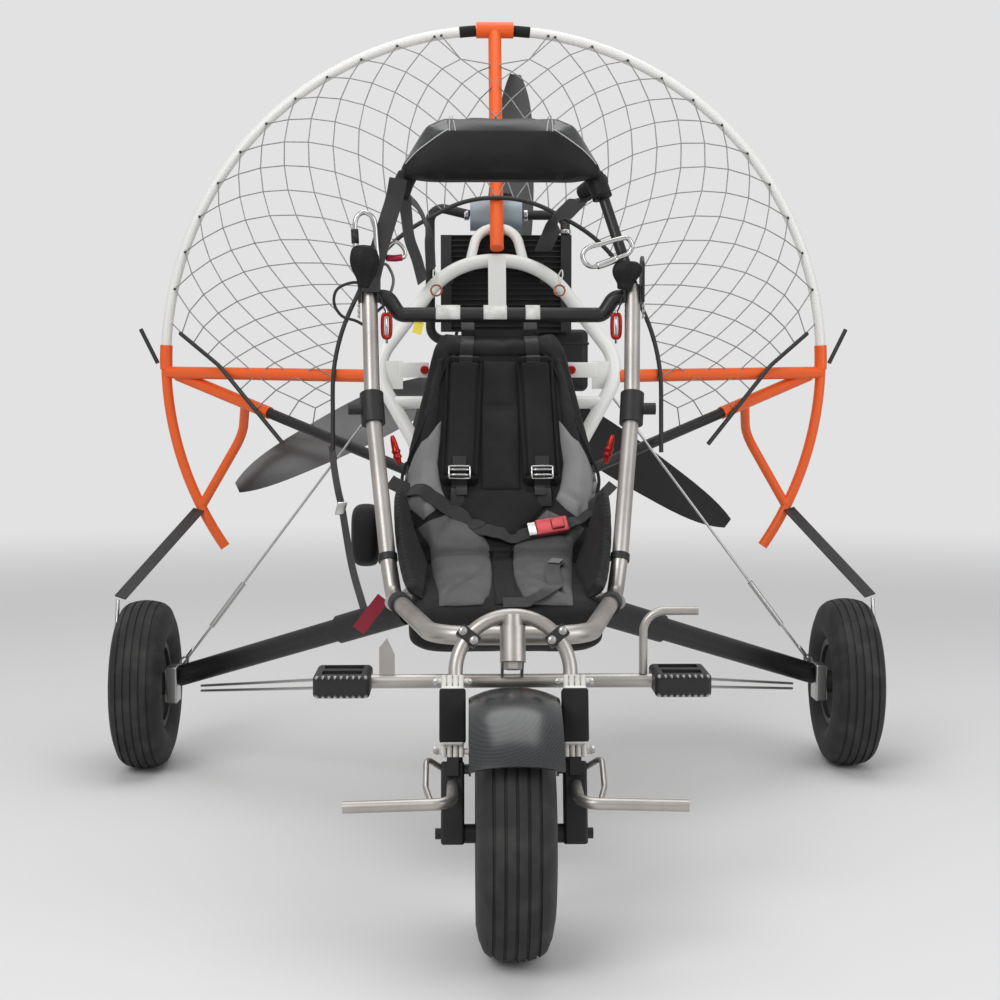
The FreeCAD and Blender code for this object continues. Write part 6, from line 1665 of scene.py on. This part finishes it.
crimson_web = ribbed_web("crimson_web", strap_dark, strap_crimson)
webbing("pull_strap", [Vector(spot) for spot in pull_path], [Vector((0, -1, 0))] * len(pull_path), pull_width,
        crimson_web)
brace = smooth_run(brace_path, 5)
webbing("brace_web", brace, [Vector((-0.3, -1, 0.3))] * len(brace), brace_width, black_web)
bevelled_block("cam_buckle", cam_spot, cam_size, cam_axes, 0.002, polished)
pouch = ring_skin([
    [Vector((pouch_middle + aside * half, back, (low + high) / 2 + rise * (high - low) / 2))
     for aside, rise in soft_corners(pouch_turns, back_corner)] for back, half, low, high in pouch_rows])
puff(pouch, pouch_swell)
start_piece("side_pouch", pouch, seat_nylon)


# Cooling and ignition: steel bands with a screw close the coolant hoses, a black cap stands on the
# header tank, and a lead runs to the spark plug.
band_places = (
    ((0.144, 0.568, 1.092), (0, 0, 1)), ((0.062, 0.606, 1.130), (1, 0, 0)),
    ((-0.062, 0.606, 1.130), (1, 0, 0)))
band_radius = 0.0112
band_wide = 0.009
band_screw = (0.0042, 0.005)
cap_spot = (0.022, 0.606, 1.166)
cap_profile = ((-0.006, 0.0), (-0.006, 0.013), (0.007, 0.0135), (0.009, 0.0115), (0.010, 0.0))
plug_path = (
    (0.000, 0.639, 0.918), (-0.018, 0.655, 0.940), (-0.058, 0.668, 0.935), (-0.082, 0.662, 0.890),
    (-0.086, 0.655, 0.830), (-0.080, 0.650, 0.770), (-0.070, 0.645, 0.755))
plug_lead_radius = 0.0036

for number, (spot, way) in enumerate(band_places):
    band = [Vector(spot) + Vector(way) * step for step in even_steps(-band_wide / 2, band_wide / 2, 4)]
    thin_rod(f"hose_band_{number}", band, band_radius, polished, 28)
    hex_nut(f"band_screw_{number}", Vector(spot) + Vector((0, band_radius, 0)), (0, 1, 0), *band_screw)
cap = turned_piece(cap_profile, cap_spot, 28, (0, 0, 1))
start_piece("header_cap", cap, black_moulding)
thin_rod("plug_lead", smooth_run(plug_path, 7), plug_lead_radius, hose_rubber, 12)


# Intake box: its lid has a seam all round and is held by two spring clips.
lid_size = (0.113, 0.093, 0.005)
lid_inset = 0.055
lid_drop = 0.030
clip_size = (0.012, 0.004, 0.028)
clip_insets = (0.030, 0.082)
clip_drop = 0.034
clip_out = 0.0015

lid_low, lid_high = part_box("airbox")
lid_spot = (lid_high[0] - lid_inset, (lid_low[1] + lid_high[1]) / 2, lid_high[2] - lid_drop)
bevelled_block("intake_lid", lid_spot, lid_size, straight_axes, 0.0012, black_moulding)
for number, inset in enumerate(clip_insets):
    clip_spot = (lid_high[0] - inset, lid_high[1] + clip_out, lid_high[2] - clip_drop)
    bevelled_block(f"intake_clip_{number}", clip_spot, clip_size, straight_axes, 0.001, polished)


# Drive nuts: five close the gearbox round the output shaft, and six hold the propeller.
gearbox_circle = 0.034
gearbox_circle_height = 0.042
propeller_circle = 0.036
hub_rim = 0.050
gearbox_nut = (0.005, 0.005)
propeller_nut = (0.0065, 0.006)
nut_steps = {"gearbox_nut": 35, "propeller_nut": 60}
nut_gap = 0.001

gear_low, gear_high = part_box("gearbox")
hub_low, hub_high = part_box("propeller_hub")
hub_across, hub_up = (hub_low[0] + hub_high[0]) / 2, (hub_low[2] + hub_high[2]) / 2
hub_face = max(spot.y for spot in node_spots("propeller_hub")
               if math.hypot(spot.x - hub_across, spot.z - hub_up) > hub_rim)
gearbox_centre = (0, gear_high[1], gear_low[2] + gearbox_circle_height)
propeller_centre = (hub_across, hub_face, hub_up)
for name, centre, circle, count, first, size, body in (
        ("gearbox_nut", gearbox_centre, gearbox_circle, 5, 200, gearbox_nut, "chassis"),
        ("propeller_nut", propeller_centre, propeller_circle, 6, 30, propeller_nut, "propeller")):
    for number in range(count):
        turn = math.radians(first + number * nut_steps[name])
        spot = Vector(centre) + Vector((circle * math.cos(turn), nut_gap, circle * math.sin(turn)))
        hex_nut(f"{name}_{number}", spot, (0, 1, 0), *size, body)
